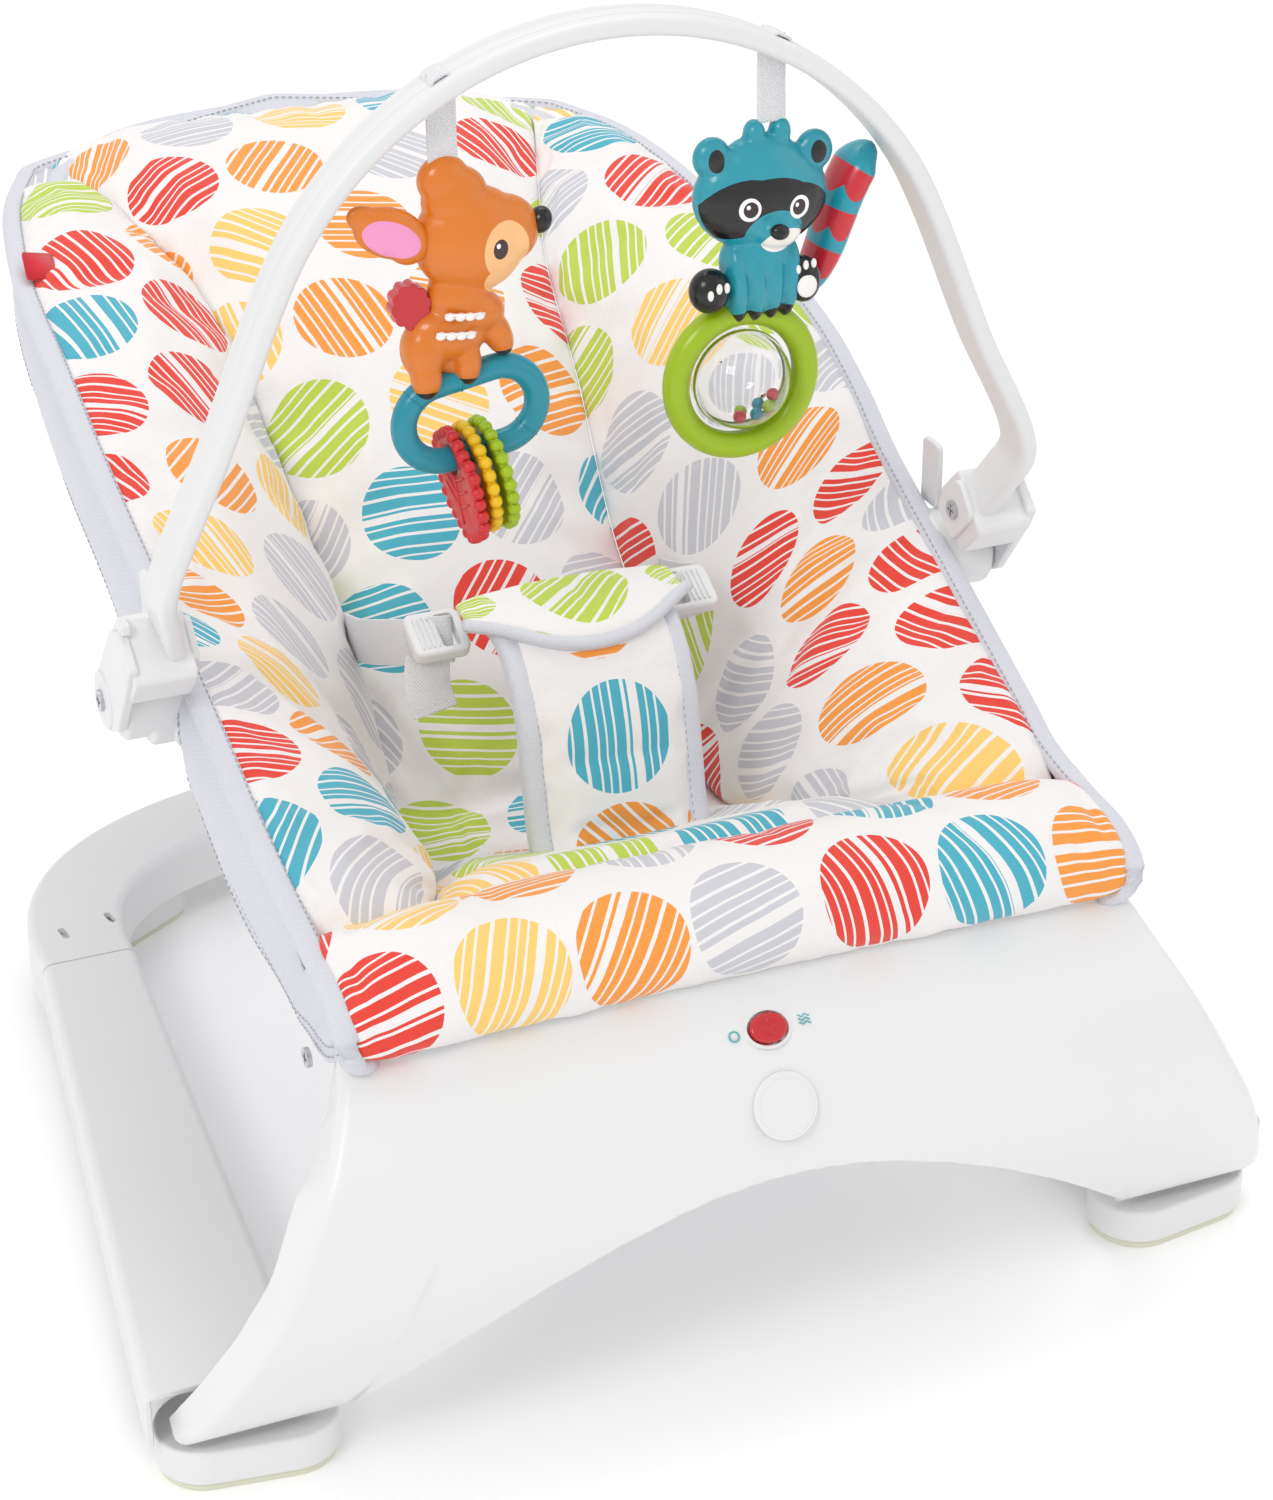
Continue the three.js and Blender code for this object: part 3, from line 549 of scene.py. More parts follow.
def printed(
    name, seed, colours=DISC_COLOURS, in_order=False, offset=(0.0, 0.0), pitch=DISC_PITCH, stagger=0.5,
):
    """Cloth printed with staggered discs, each in one colour and cut by thin uneven stripes.

    With `in_order` the colours follow one another along a row. Otherwise chance picks them."""
    p = Paint(name, GROUND, 0.85, Sheen_Weight=0.2, Sheen_Roughness=0.5)
    uv = p.where("UV")
    u, v, _ = p.split(uv)
    across = (u + offset[0]) / pitch
    rise = (v + offset[1]) / ROW_PITCH
    row = rise.to("FLOOR")
    across = across + (row + 100.0).to("MODULO", 2.0) * stagger
    column = across.to("FLOOR")
    cell = p.node("ShaderNodeCombineXYZ", {0: column, 1: row, 2: float(seed)}).outputs[0]
    chance = p.node("ShaderNodeTexWhiteNoise", {"Vector": cell}, noise_dimensions="3D").outputs
    first, second, third = p.split(chance["Color"])
    x = (across - column - 0.5) * pitch
    y = (rise - row - 0.5) * ROW_PITCH
    x = x + (first - 0.5) * DISC_DRIFT[0]
    y = y + (second - 0.5) * DISC_DRIFT[1]
    inside = (x * x + y * y).to("SQRT") < DISC_R
    turn = third * (2 * math.pi)
    wobble = p.noise(uv, 26, 1) * STRIPE_WOBBLE
    along = (x * turn.to("COSINE") + y * turn.to("SINE")) + wobble
    drift = (along * 330.0 + first * 40.0).to("SINE")
    phase = along * (2 * math.pi / STRIPE_PITCH) + drift * 1.25
    gap = phase.to("COSINE") > GAP_LEVEL
    middle = (second - 0.5) * 0.020
    wide = (along - middle).to("ABSOLUTE") < WIDE_GAP
    ink = inside * p.sum("SUBTRACT", 1.0, gap.to("MAXIMUM", wide))
    pick = chance["Value"]
    if in_order:
        pick = ((column + 100.5) / float(len(colours))).to("FRACT")
    ramp = p.node("ShaderNodeValToRGB", {0: pick})
    ramp.color_ramp.interpolation = "CONSTANT"
    stops = ramp.color_ramp.elements
    for number, colour in enumerate(colours):
        stop = stops[number] if number < 2 else stops.new(number / len(colours))
        stop.position = number / len(colours)
        stop.color = colour
    threads = weave_height(p, p.where(), 0.0009)
    ground = p.blend(p.noise(p.where(), 30, 4), rgb(232, 229, 229), GROUND)
    colour = p.blend(ink, ground, ramp.outputs["Color"])
    rough = p.spread(p.noise(p.where(), 80, 3), 0.3, 0.7, 0.75, 0.9)
    creases = p.bump(p.noise(p.where(), 34, 2), 0.0022, 0.35)
    return p.finish(Base_Color=colour, Roughness=rough, Normal=p.bump(threads, 0.00008, 0.4, creases))


def metal(name, colour, roughness=0.32):
    """Drawn or turned metal with fine streaks."""
    p = Paint(name, colour, roughness, Metallic=1.0)
    inputs = {0: p.where(), 1: STREAKS}
    stretched = p.node("ShaderNodeVectorMath", inputs, operation="MULTIPLY").outputs[0]
    lines = p.noise(stretched, 6, 4, 0.6)
    rough = p.spread(lines, 0.3, 0.7, roughness * 0.75, roughness * 1.3)
    tint = p.blend(lines, darker(colour, 0.85), colour)
    return p.finish(Base_Color=tint, Roughness=rough, Normal=p.bump(lines, 0.00003, 0.4))


def painted(name, base, layers, roughness=0.28):
    """Plastic with crisp painted marks. A layer is a colour and its ellipses, as in `spot_mask`."""
    p = Paint(name, base, roughness, Coat_Weight=0.15)
    spot = p.where()
    x, y, z = p.split(spot)
    front = y < (BAR_Y - 3 + SHIFT_Y) * MM
    colour = p.blend(p.noise(spot, 30, 3), darker(base, 0.9), base)
    for paint, *spots in layers:
        masks = [spot_mask(x, z, *one) for one in spots]
        total = masks[0]
        for one in masks[1:]:
            total = total.to("MAXIMUM", one)
        colour = p.blend(front * total, colour, paint)
    rough = p.spread(p.noise(spot, 90, 3), 0.3, 0.7, roughness * 0.8, roughness * 1.2)
    peel = p.bump(p.noise(spot, 700, 2), 0.00002, 0.5)
    return p.finish(Base_Color=colour, Roughness=rough, Normal=peel)


def spot_mask(x, z, cx, cz, rx, rz, turn=0.0):
    """Mask of an ellipse on the front of a toy, in drawing millimetres and degrees."""
    dx, dz = x / MM - cx, z / MM - cz
    c, s = math.cos(math.radians(turn)), math.sin(math.radians(turn))
    a = (dx * c + dz * s) / rx
    b = (dz * c - dx * s) / rz
    return (a * a + b * b) < 1.0


def clear_plastic():
    p = Paint("clear_plastic", (1, 1, 1, 1), 0.03, Transmission_Weight=1.0, IOR=1.3)
    spot = p.where()
    rough = p.spread(p.noise(spot, 40, 2), 0.3, 0.7, 0.02, 0.06)
    return p.finish(Roughness=rough, Normal=p.bump(p.noise(spot, 120, 2), 0.00002, 0.3))


RIB_PITCH = 0.0013
CORD_PITCH = 0.0016


def ribbed_webbing():
    """Narrow woven tape: ribs across its length, in UV metres."""
    p = Paint("webbing_cloth", rgb(243, 243, 244), 0.8, Sheen_Weight=0.2)
    u, v, _ = p.split(p.where("UV"))
    ribs = (v * (2 * math.pi / RIB_PITCH)).to("SINE")
    cords = (u * (2 * math.pi / CORD_PITCH)).to("SINE")
    height = ribs * cords
    # painted shade and highlight: the tape's grooves darker and its rib crests lighter
    shade = p.spread(height, -1.0, 1.0, 0.0, 1.0)
    colour = p.blend(shade, rgb(222, 222, 226), rgb(247, 247, 248))
    rough = p.spread(p.noise(p.where(), 100, 3), 0.3, 0.7, 0.7, 0.9)
    return p.finish(Base_Color=colour, Roughness=rough, Normal=p.bump(height, 0.0003, 0.8))


BAR_Y = 147
white = plastic("white_plastic", rgb(229, 229, 229), 0.34)
inner_white = plastic("inner_white_plastic", rgb(223, 223, 224), 0.5, 0.00004)
bar_white = plastic("toy_bar_plastic", rgb(226, 226, 227), 0.38)
rubber = plastic("sole_rubber", rgb(224, 222, 200), 0.6, 0.00005, Subsurface_Weight=0.1)
red_gloss = plastic("red_plastic", rgb(196, 22, 34), 0.22, Coat_Weight=0.4)
black_gloss = plastic("black_plastic", rgb(22, 22, 24), 0.2)
teal_gloss = plastic("teal_plastic", rgb(28, 140, 160), 0.26)
green_gloss = plastic("green_plastic", rgb(158, 188, 16), 0.26)
yellow_gloss = plastic("yellow_plastic", rgb(236, 190, 10), 0.35)
rose_gloss = plastic("leaf_plastic", rgb(205, 36, 42), 0.35)
jacket = plastic("battery_jacket", rgb(60, 66, 74), 0.35)
print_teal = plastic("panel_print", rgb(104, 176, 186), 0.5)
grey_cloth = cloth("grey_cloth", PIPING)
lining = cloth("grey_lining", rgb(206, 206, 214), 0.0014)
thread = cloth("stitch_thread", rgb(176, 176, 188), 0.0006)
webbing = ribbed_webbing()
steel = metal("steel", rgb(205, 207, 211))
tube_paint = plastic("tube_paint", rgb(222, 223, 227), 0.3)
brass = metal("brass", rgb(190, 160, 90))
clear = clear_plastic()


# ---- base ---------------------------------------------------------------------------------------
WALL = 3.0
SHELL_PROFILE = [  # y, z, half width and depth of the side walls, down the front panel
    (44, 188, 163, 8), (20, 187, 165, 14), (5, 180, 169, 28), (-8, 169, 174, 34), (-26, 144, 187, 32),
    (-34, 108, 205, 21), (-30, 82, 218, 17), (-20, 58, 229, 16), (-7, 36, 238, 15), (8, 22, 241, 12),
]
ARCH_HALF = 175
ARCH_LOW = 30
ARCH_RISE = 82
CORNER_R = 5.5


def front_shell():
    """The C-shaped front panel with its side walls and arched lower edge."""
    fine = 400
    steps = table(SHELL_PROFILE, fine)
    run = distance_along(steps[:, :2])
    share = run / run[-1]

    def at(t):
        return np.stack([np.interp(t, share, steps[:, k]) for k in range(4)], -1)

    def inward(t):
        ahead, behind = at(np.minimum(t + 0.004, 1)), at(np.maximum(t - 0.004, 0))
        d = ahead[..., :2] - behind[..., :2]
        return unit(np.stack([-d[..., 1], d[..., 0]], -1))

    web = np.linspace(-1, 1, 121)
    wall_steps, arc_steps = 6, 5
    grid_t = np.linspace(0, 1, fine)
    profile = at(grid_t)
    ends = []
    for s in web:
        x = s * (profile[:, 2] - CORNER_R)
        arch = ARCH_LOW + ARCH_RISE * (1 - (x / ARCH_HALF) ** 2)
        below = (profile[:, 1] <= arch) & (np.abs(x) < ARCH_HALF) & (profile[:, 0] < 12) & (grid_t > 0.4)
        ends.append(grid_t[np.argmax(below)] if below.any() else 1.0)
    rows = 90
    down = np.linspace(0, 1, rows)
    columns = []
    for side in (-1, 1):
        group = []
        for k in range(wall_steps):
            group.append(("wall", side, 1 - k / wall_steps))
        for k in range(arc_steps):
            group.append(("arc", side, k / arc_steps))
        columns.append(group)
    order = columns[0] + [("web", s, end) for s, end in zip(web, ends)] + columns[1][::-1]
    points = np.zeros((rows, len(order), 3))
    for c, (kind, a, b) in enumerate(order):
        t = down * (b if kind == "web" else 1.0)
        y, z, half, depth = at(t).T
        n = inward(t)
        round_r = np.minimum(CORNER_R, depth * 0.45)
        if kind == "web":
            x = a * (half - round_r)
            back = np.zeros(rows)
        elif kind == "arc":
            angle = math.pi / 2 * b
            x = a * (half - round_r + round_r * math.cos(angle))
            back = round_r * (1 - math.sin(angle))
        else:
            x = a * half
            back = round_r + (depth - round_r) * b
        points[:, c] = np.stack([x, y + back * n[:, 0], z + back * n[:, 1]], -1)
    faces = [face[::-1] for face in quads(rows, len(order))]
    shell = make("front_panel", points.reshape(-1, 3), faces, white, closed=False)
    thick = shell.modifiers.new("Thickness", "SOLIDIFY")
    thick.thickness = WALL * MM
    thick.offset = -1
    thick.use_even_offset = True
    bake(shell)
    face_outwards(shell.data)
    return shell


BUTTON = np.array([0, -10.6, 165.6])
BUTTON_OUT = unit(np.array([0, -0.66, 0.75]))
BUTTON_UP = np.cross(X, BUTTON_OUT)
if BUTTON_UP[2] < 0:
    BUTTON_UP = -BUTTON_UP


def on_panel(outline, centre, out, up, low, high, name, material, edge=0.0):
    """A plate on the front panel, from `low` to `high` along the outward direction."""
    middle = np.asarray(centre, float) + out * (low + high) / 2
    return slab(name, outline, middle, X, up, high - low, material, edge)


shell = front_shell()
hole = on_panel(oval(17.4, 14, 48), BUTTON, BUTTON_OUT, BUTTON_UP, -12, 8, "hole", white)
carve(shell, hole)
bevel(shell, 0.9, 2, 50)
place(shell, "base", "white_plastic", "front_base_shell")

rim = hoop(
    "button_recess_rim", oval(18.6, 15.2, 48), BUTTON + BUTTON_OUT * 0.1, X, BUTTON_UP,
    oval(1.6, 0.9, 10), BUTTON_OUT, white,
)
place(rim, "base", "white_plastic")

button = on_panel(oval(15.8, 12.4, 48), BUTTON, BUTTON_OUT, BUTTON_UP, -6, 2.2, "button_cap", red_gloss, 1.3)
place(button, "power_button", "red_plastic", "power_button")


def power_symbol():
    """The usual power sign: an open ring with a bar in its gap."""
    face = BUTTON + BUTTON_OUT * 2.2
    angles = np.radians(np.linspace(125, 415, 30))
    ring = np.array([face + X * 3.1 * math.cos(a) + BUTTON_UP * 3.1 * math.sin(a) for a in angles])
    bar = np.array([face + BUTTON_UP * h for h in np.linspace(0.6, 4.3, 6)])
    parts = [
        sweep("ring", ring, oval(0.7, 0.7, 8), BUTTON_OUT, red_gloss),
        sweep("bar", bar, oval(0.7, 0.7, 8), BUTTON_OUT, red_gloss),
    ]
    return merge("button_symbol", parts)


place(power_symbol(), "power_button", "red_plastic")


def panel_marks():
    """Off and on signs beside the button: a ring, and three small waves."""
    left = BUTTON + X * -14.5 + BUTTON_OUT * 0.55 - BUTTON_UP * 0.4
    parts = [hoop("off", oval(4, 4, 32), left, X, BUTTON_UP, oval(0.7, 0.9, 6), BUTTON_OUT, print_teal)]
    right = BUTTON + X * 15.5 + BUTTON_OUT * 0.45 + BUTTON_UP * 0.4
    for rise in (-1.5, 0.0, 1.5):
        wave = np.array([right + X * t + BUTTON_UP * (rise + 0.45 * math.sin(t * 2.2))
                         for t in np.linspace(-2.4, 2.4, 25)])
        parts.append(sweep("on", wave, oval(0.6, 0.8, 6), BUTTON_OUT, print_teal))
    return merge("panel_marks", parts)


place(panel_marks(), "base", "white_plastic")

EMBLEM = np.array([0, -27, 140])
EMBLEM_OUT = unit(np.array([0, -0.9, 0.436]))
EMBLEM_UP = np.array([0, 0.436, 0.9])
emblem = on_panel(oval(27, 27, 72), EMBLEM, EMBLEM_OUT, EMBLEM_UP, 0.6, 2.2, "plain_emblem", white, 0.6)
place(emblem, "base", "white_plastic", "emblem_disc")
ridge = hoop(
    "emblem_ridge", oval(23, 23, 72), EMBLEM + EMBLEM_OUT * 2.1, X, EMBLEM_UP,
    oval(1.0, 0.7, 8), EMBLEM_OUT, white,
)
place(ridge, "base", "white_plastic")


def channel(half, depth, radius=5.0, wall=WALL):
    """Outline of an open channel: its web at the origin, its walls along +up."""
    angles = np.radians(np.linspace(0, 90, 7))
    arc = [(radius * (1 - math.sin(a)), radius * (1 - math.cos(a))) for a in angles]
    right = [(half - x, y) for x, y in arc][::-1]
    left = [(-half + x, y) for x, y in arc]
    inner = [(-half + wall, depth), (-half + wall, wall), (half - wall, wall), (half - wall, depth)]
    return np.array([(half, depth)] + right + left + [(-half, depth)] + inner)


RAIL_REAR_Y = 340
RAIL_TOP = 45
RAIL_DEPTH = 25
RAIL_FRONT = (218.5, 32.5)  # middle and half width at the front end
RAIL_REAR = (186.5, 22.5)
REAR_DEPTH = 126
REAR_POWER = 2.6


def channel_body(name, path, halves, sides):
    """A moulded channel, open below, along a path in the plane of the rails' tops."""
    outline = np.stack([channel(h, RAIL_DEPTH) for h in halves])
    points = path[:, None] + outline[..., :1] * sides[:, None] + outline[..., 1:] * -Z
    rows, cols = points.shape[:2]
    faces = quads(rows, cols, False, True)
    ends = [tuple(range(cols)), tuple(range((rows - 1) * cols, rows * cols))]
    return make(name, points.reshape(-1, 3), faces + ends, white)


def slot_cutter(x, y, turn):
    side = np.array([math.cos(turn), math.sin(turn), 0])
    up = np.array([-side[1], side[0], 0])
    return slab("slot", rounded(3.4, 10, 1.2, 3), (x, y, RAIL_TOP), side, up, 14, white)


for sign, word in SIDES:
    ys = np.linspace(RAIL_FRONT_Y, RAIL_REAR_Y - 0.4, 40)
    t = (ys - RAIL_FRONT_Y) / (RAIL_REAR_Y - RAIL_FRONT_Y)
    path = np.stack([sign * lerp(RAIL_FRONT[0], RAIL_REAR[0], t), ys, np.full(40, float(RAIL_TOP))], 1)
    rail = channel_body(f"{word}_rail", path, lerp(RAIL_FRONT[1], RAIL_REAR[1], t), np.tile(X, (40, 1)))
    bevel(rail, 0.8, 2, 60)
    place(rail, "base", "white_plastic", f"{word}_side_rail")
    ribs = []
    for y in (80, 145, 210, 275, 325):
        t = (y - RAIL_FRONT_Y) / (RAIL_REAR_Y - RAIL_FRONT_Y)
        wide = 2 * lerp(RAIL_FRONT[1], RAIL_REAR[1], t) - 2 * WALL + 0.4
        middle = (sign * lerp(RAIL_FRONT[0], RAIL_REAR[0], t), y, RAIL_TOP - RAIL_DEPTH / 2)
        ribs.append(slab("rib", rounded(wide, RAIL_DEPTH - 8, 0.6, 1), middle, X, Z, 1.8, inner_white))
    place(merge(f"{word}_rail_ribs", ribs), "base", "white_plastic")


def rear_bar():
    count = 121
    angle = np.linspace(0, math.pi, count)
    bend = lambda v: np.sign(v) * np.abs(v) ** (2 / REAR_POWER)
    path = np.stack([
        RAIL_REAR[0] * bend(np.cos(angle)),
        RAIL_REAR_Y + REAR_DEPTH * bend(np.sin(angle)),
        np.full(count, float(RAIL_TOP)),
    ], 1)
    path = even(path, count)
    tangent = np.gradient(path, axis=0)
    tangent[0], tangent[-1] = Y, -Y
    sides = unit(np.cross(tangent, Z))
    share = np.sin(np.linspace(0, math.pi, count))
    return channel_body("rear_bar", path, RAIL_REAR[1] + 3 * share, sides)


rear = rear_bar()
slots = []
for sign in (-1, 1):
    slots.append(slot_cutter(sign * 192, 365, sign * -0.12))
    slots.append(slot_cutter(sign * 168, 371, sign * -0.12))
carve(rear, *slots)
bevel(rear, 0.8, 2, 60)
place(rear, "base", "white_plastic", "rear_base_bar")
for sign, word in ((-1, "left"), (1, "right")):
    middle = (sign * 183.5, 352, RAIL_TOP - WALL - 1.4)
    tongue = slab(f"{word}_rail_tongue", rounded(34, 46, 3, 4), middle, X, Y, 2.2, inner_white, 0.5)
    place(tongue, "base", "white_plastic")


def foot(word, x, y, turn):
    side = np.array([math.cos(math.radians(turn)), math.sin(math.radians(turn)), 0])
    up = np.array([-side[1], side[0], 0])
    pad_outline = rounded(74, 42, 20.5, 12)
    pad = slab(f"{word}_foot_pad", pad_outline, (x, y, 11.4), side, up, 16, white, 1.6)
    place(pad, "base", "white_plastic", f"{word}_foot")
    sole = slab(f"{word}_sole_pad", rounded(71, 39, 19, 12), (x, y, 1.6), side, up, 3.0, rubber, 0.7)
    place(sole, "base", "foot_rubber", f"{word}_foot_sole")


for sign, word in SIDES:
    foot(f"{word}_front", sign * 209, 21, sign * 8)
    foot(f"{word}_rear", sign * 146, 437, sign * -32)


def phillips_screw(name, centre, axis, radius):
    """A pan head with a cross cut into it."""
    axis = unit(np.asarray(axis, float))
    side = unit(np.cross(axis, Z if abs(axis[2]) < 0.9 else X))
    up = np.cross(axis, side)
    centre = np.asarray(centre)
    head = slab(name, oval(2 * radius, 2 * radius, 32), centre + axis * 1.0, side, up, 2.0, steel)
    cuts = []
    for w, h in ((1.3, 0.28), (0.28, 1.3)):
        outline = rounded(w * radius, h * radius, 0.05, 1)
        cuts.append(slab("cut", outline, centre + axis * 1.9, side, up, 1.6, steel))
    carve(head, *cuts)
    bevel(head, 0.35, 2, 40)
    return head


for sign, word in SIDES:
    screw = phillips_screw(f"{word}_frame_screw_head", (sign * 172.6, 30, 172), (sign, 0, 0), 4.0)
    place(screw, "base", "steel", f"{word}_frame_screw")


def panel_ribs():
    """Stiffening ribs on the back of the front panel."""
    steps = table(SHELL_PROFILE, 60)
    parts = []
    for x in (-130, -78, 78, 130):
        arch = ARCH_LOW + ARCH_RISE * (1 - (x / ARCH_HALF) ** 2)
        keep = steps[(steps[:, 1] > arch + 6) & (steps[:, 1] < 150)]
        path = np.stack([np.full(len(keep), float(x)), keep[:, 0] + WALL + 4.5, keep[:, 1]], 1)
        parts.append(sweep("rib", path, rounded(1.8, 11, 0.5, 1), Y, inner_white))
    return merge("panel_back_ribs", parts)


place(panel_ribs(), "base", "white_plastic")

looks = {
    "vibration_housing": inner_white, "battery_door": inner_white, "battery_cell": jacket,
    "vibration_motor": steel, "motor_shaft": steel, "eccentric_weight": brass, "power_switch": black_gloss,
}
for name, material in looks.items():
    slots_of_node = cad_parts[name].data.materials
    slots_of_node.clear()
    slots_of_node.append(material)

# ---- seat frame ---------------------------------------------------------------------------------
TUBE_R = 8
TUBE_SIDE = [
    (152, 12, 165), (161, 90, 198), (165, 160, 227.5), (167.5, 230, 257), (168.5, 334, 300),
    (164, 410, 318), (154, 470, 330.5), (132, 530, 343), (84, 577, 350),
]
tube_points = TUBE_SIDE + [(0, 590, 352)] + [(-x, y, z) for x, y, z in reversed(TUBE_SIDE)]
tube_path = spline(tube_points, 240)
tube = sweep("frame_tube", tube_path, oval(2 * TUBE_R, 2 * TUBE_R), Z, tube_paint)
place(tube, "seat", "steel", "seat_frame_tube")
half_tube = tube_path[:121]  # the right-hand half, from the shell to the middle of the head end

PIVOT = np.array([184, 197, 251])


def hinge_housing(sign, word):
    """Moulded housing clamped on the tube, with a round drum that carries the toy bar."""
    axis = X * sign
    centre = PIVOT * np.array([sign, 1, 1])
    drum = slab("drum", oval(36, 36, 64), centre - axis * 0.5, Y, Z, 27, white, 2.4)
    clamp = centre - axis * 10 + np.array([0, 2, -7])
    saddle = slab("saddle", rounded(34, 26, 8, 6), clamp, Y, Z, 26, white, 3.0)
    face = hoop("face", oval(28, 28, 48), centre + axis * 13, Y, Z, oval(1.2, 0.8, 8), X, white)
    sleeve_path = half_tube[(half_tube[:, 1] > 180) & (half_tube[:, 1] < 226)]
    sleeve = sweep("sleeve", sleeve_path * np.array([sign, 1, 1]), oval(23, 23, 32), Z, white)
    bevel(sleeve, 1.5, 2)
    return merge(f"{word}_hinge", [drum, saddle, face, sleeve])


for sign, word in SIDES:
    place(hinge_housing(sign, word), "seat", "white_plastic", f"{word}_hinge_housing")

# ---- toy bar ------------------------------------------------------------------------------------
BAR_TOP = 521
BAR_R = 151
SPLAY = math.radians(23)
BAR_WIDTH = 22
BAR_THICK = 8
KNEE_Z = 320


def bar_points():
    centre = BAR_TOP - BAR_R
    shoulder_x, shoulder_z = BAR_R * math.cos(SPLAY), centre + BAR_R * math.sin(SPLAY)
    knee_x = shoulder_x + (shoulder_z - KNEE_Z) * math.tan(SPLAY)
    foot_end = [
        (179.5, 170, 283), (184.5, 157, 302), (knee_x + 1.5, BAR_Y, KNEE_Z),
        ((knee_x + shoulder_x) / 2, BAR_Y, (KNEE_Z + shoulder_z) / 2),
    ]
    angles = np.linspace(SPLAY, math.pi - SPLAY, 15)
    arc = [(BAR_R * math.cos(a), BAR_Y, centre + BAR_R * math.sin(a)) for a in angles]
    return foot_end + arc + [(-x, y, z) for x, y, z in reversed(foot_end)]


bar_path = spline(bar_points(), 220)
bar_outline = rounded(BAR_THICK, BAR_WIDTH, 3.0, 5)
toy_bar = sweep("toy_arch", bar_path, bar_outline, Y, bar_white)
place(toy_bar, "toy_bar", "white_plastic", "toy_bar")
BAR_CENTRE = np.array([0, BAR_Y, BAR_TOP - BAR_R])
rib_path = bar_path[6:-6] + unit(bar_path[6:-6] - BAR_CENTRE) * (BAR_THICK / 2 - 0.1)
bar_rib = sweep("toy_arch_rib", rib_path, rounded(0.8, 9, 0.3, 2), Y, bar_white)
place(bar_rib, "toy_bar", "white_plastic")


# side view of the bracket's plate, from the pivot
BRACKET = [
    (10, -8), (13, 0), (12, 6), (4, 15), (-16, 38), (-30, 44), (-44, 32), (-40, 24), (-18, -6), (-6, -12),
    (4, -12),
]


def bracket(sign, word):
    """Plate on the hinge housing, a socket round the bar's foot, and a release tab behind it."""
    x = PIVOT[0] + 13 + 0.4 + 2  # the drum's half length, a gap and half the plate
    outer = np.array(BRACKET) + PIVOT[1:]
    middle = outer.mean(0)
    low = PIVOT[0] - 11
    wide = x - low
    foot = (unit(np.array([0, 1, 1])), unit(np.array([0, -1, 1])))
    rows = [
        ("plate", outer - middle, x, *middle, (Y, Z), 4.6, 1.2),
        ("lug", oval(25, 25, 40), x + 0.6, PIVOT[1], PIVOT[2], (Y, Z), 5.4, 1.2),
        ("socket", rounded(31, 24, 4, 5), (low + x) / 2, 171, 280, foot, wide, 1.4),
        ("face", rounded(20, 26, 5, 5), low - 0.6, 172, 281, foot, 3.0, 0.9),
        ("tab", rounded(15, 30, 3, 4), PIVOT[0] - 6, 206, 284, (Y, Z), 3.0, 0.9),
        ("hook", rounded(9, 5, 1.5, 3), x - 1, 168, 296, (Y, Z), 4.0, 0.8),
    ]
    parts = [
        slab(name, outline, (sign * across, y, z), *plane, depth, bar_white, edge)
        for name, outline, across, y, z, plane, depth, edge in rows
    ]
    return merge(f"{word}_bracket", parts)


for sign, word in SIDES:
    place(bracket(sign, word), "toy_bar", "white_plastic", f"{word}_toy_bar_bracket")
    spot = (sign * (PIVOT[0] + 18.2), PIVOT[1], PIVOT[2])
    screw = phillips_screw(f"{word}_bracket_screw_head", spot, (sign, 0, 0), 4.6)
    place(screw, "toy_bar", "steel", f"{word}_bracket_screw")
    spot = (sign * (PIVOT[0] - 12.6), 172, 281)
    place(phillips_screw(f"{word}_bar_foot_screw", spot, (-sign, 0, 0), 4.2), "toy_bar", "steel")

# ---- padded sling -------------------------------------------------------------------------------
# Rows from behind the front roll to the head end: middle (y, z); seam (x, y, z); rim (x, y, z).
SLING = [
    (57, 180, 106, 57, 182, 164, 52, 192),
    (74, 189, 106, 74, 192, 165, 68, 212),
    (105, 172, 96, 105, 180, 167, 104, 227),
    (140, 153, 87, 140, 163, 168, 140, 242),
    (178, 135, 80, 178, 146, 169, 178, 258),
    (212, 129, 76, 212, 143, 170, 212, 272),
    (238, 150, 72, 238, 162, 171, 240, 284),
    (270, 185, 70, 270, 194, 173, 270, 299),
    (315, 230, 70, 315, 230, 174, 312, 316),
    (373, 283, 77, 373, 281, 172, 370, 331),
    (430, 318, 84, 430, 319, 169, 426, 340),
    (478, 339, 98, 475, 341, 163, 470, 348),
    (520, 350, 110, 510, 351, 155, 506, 353),
    (560, 356, 119, 535, 354, 144, 534, 355),
    (588, 360, 126, 552, 356, 134, 554, 356),
]
ROWS = 120


def crown(share, power=4.0):
    """How full a pad is across its width: nothing at its edges and full in the middle."""
    return np.sqrt(np.maximum(1 - np.abs(2 * share - 1) ** power, 0))


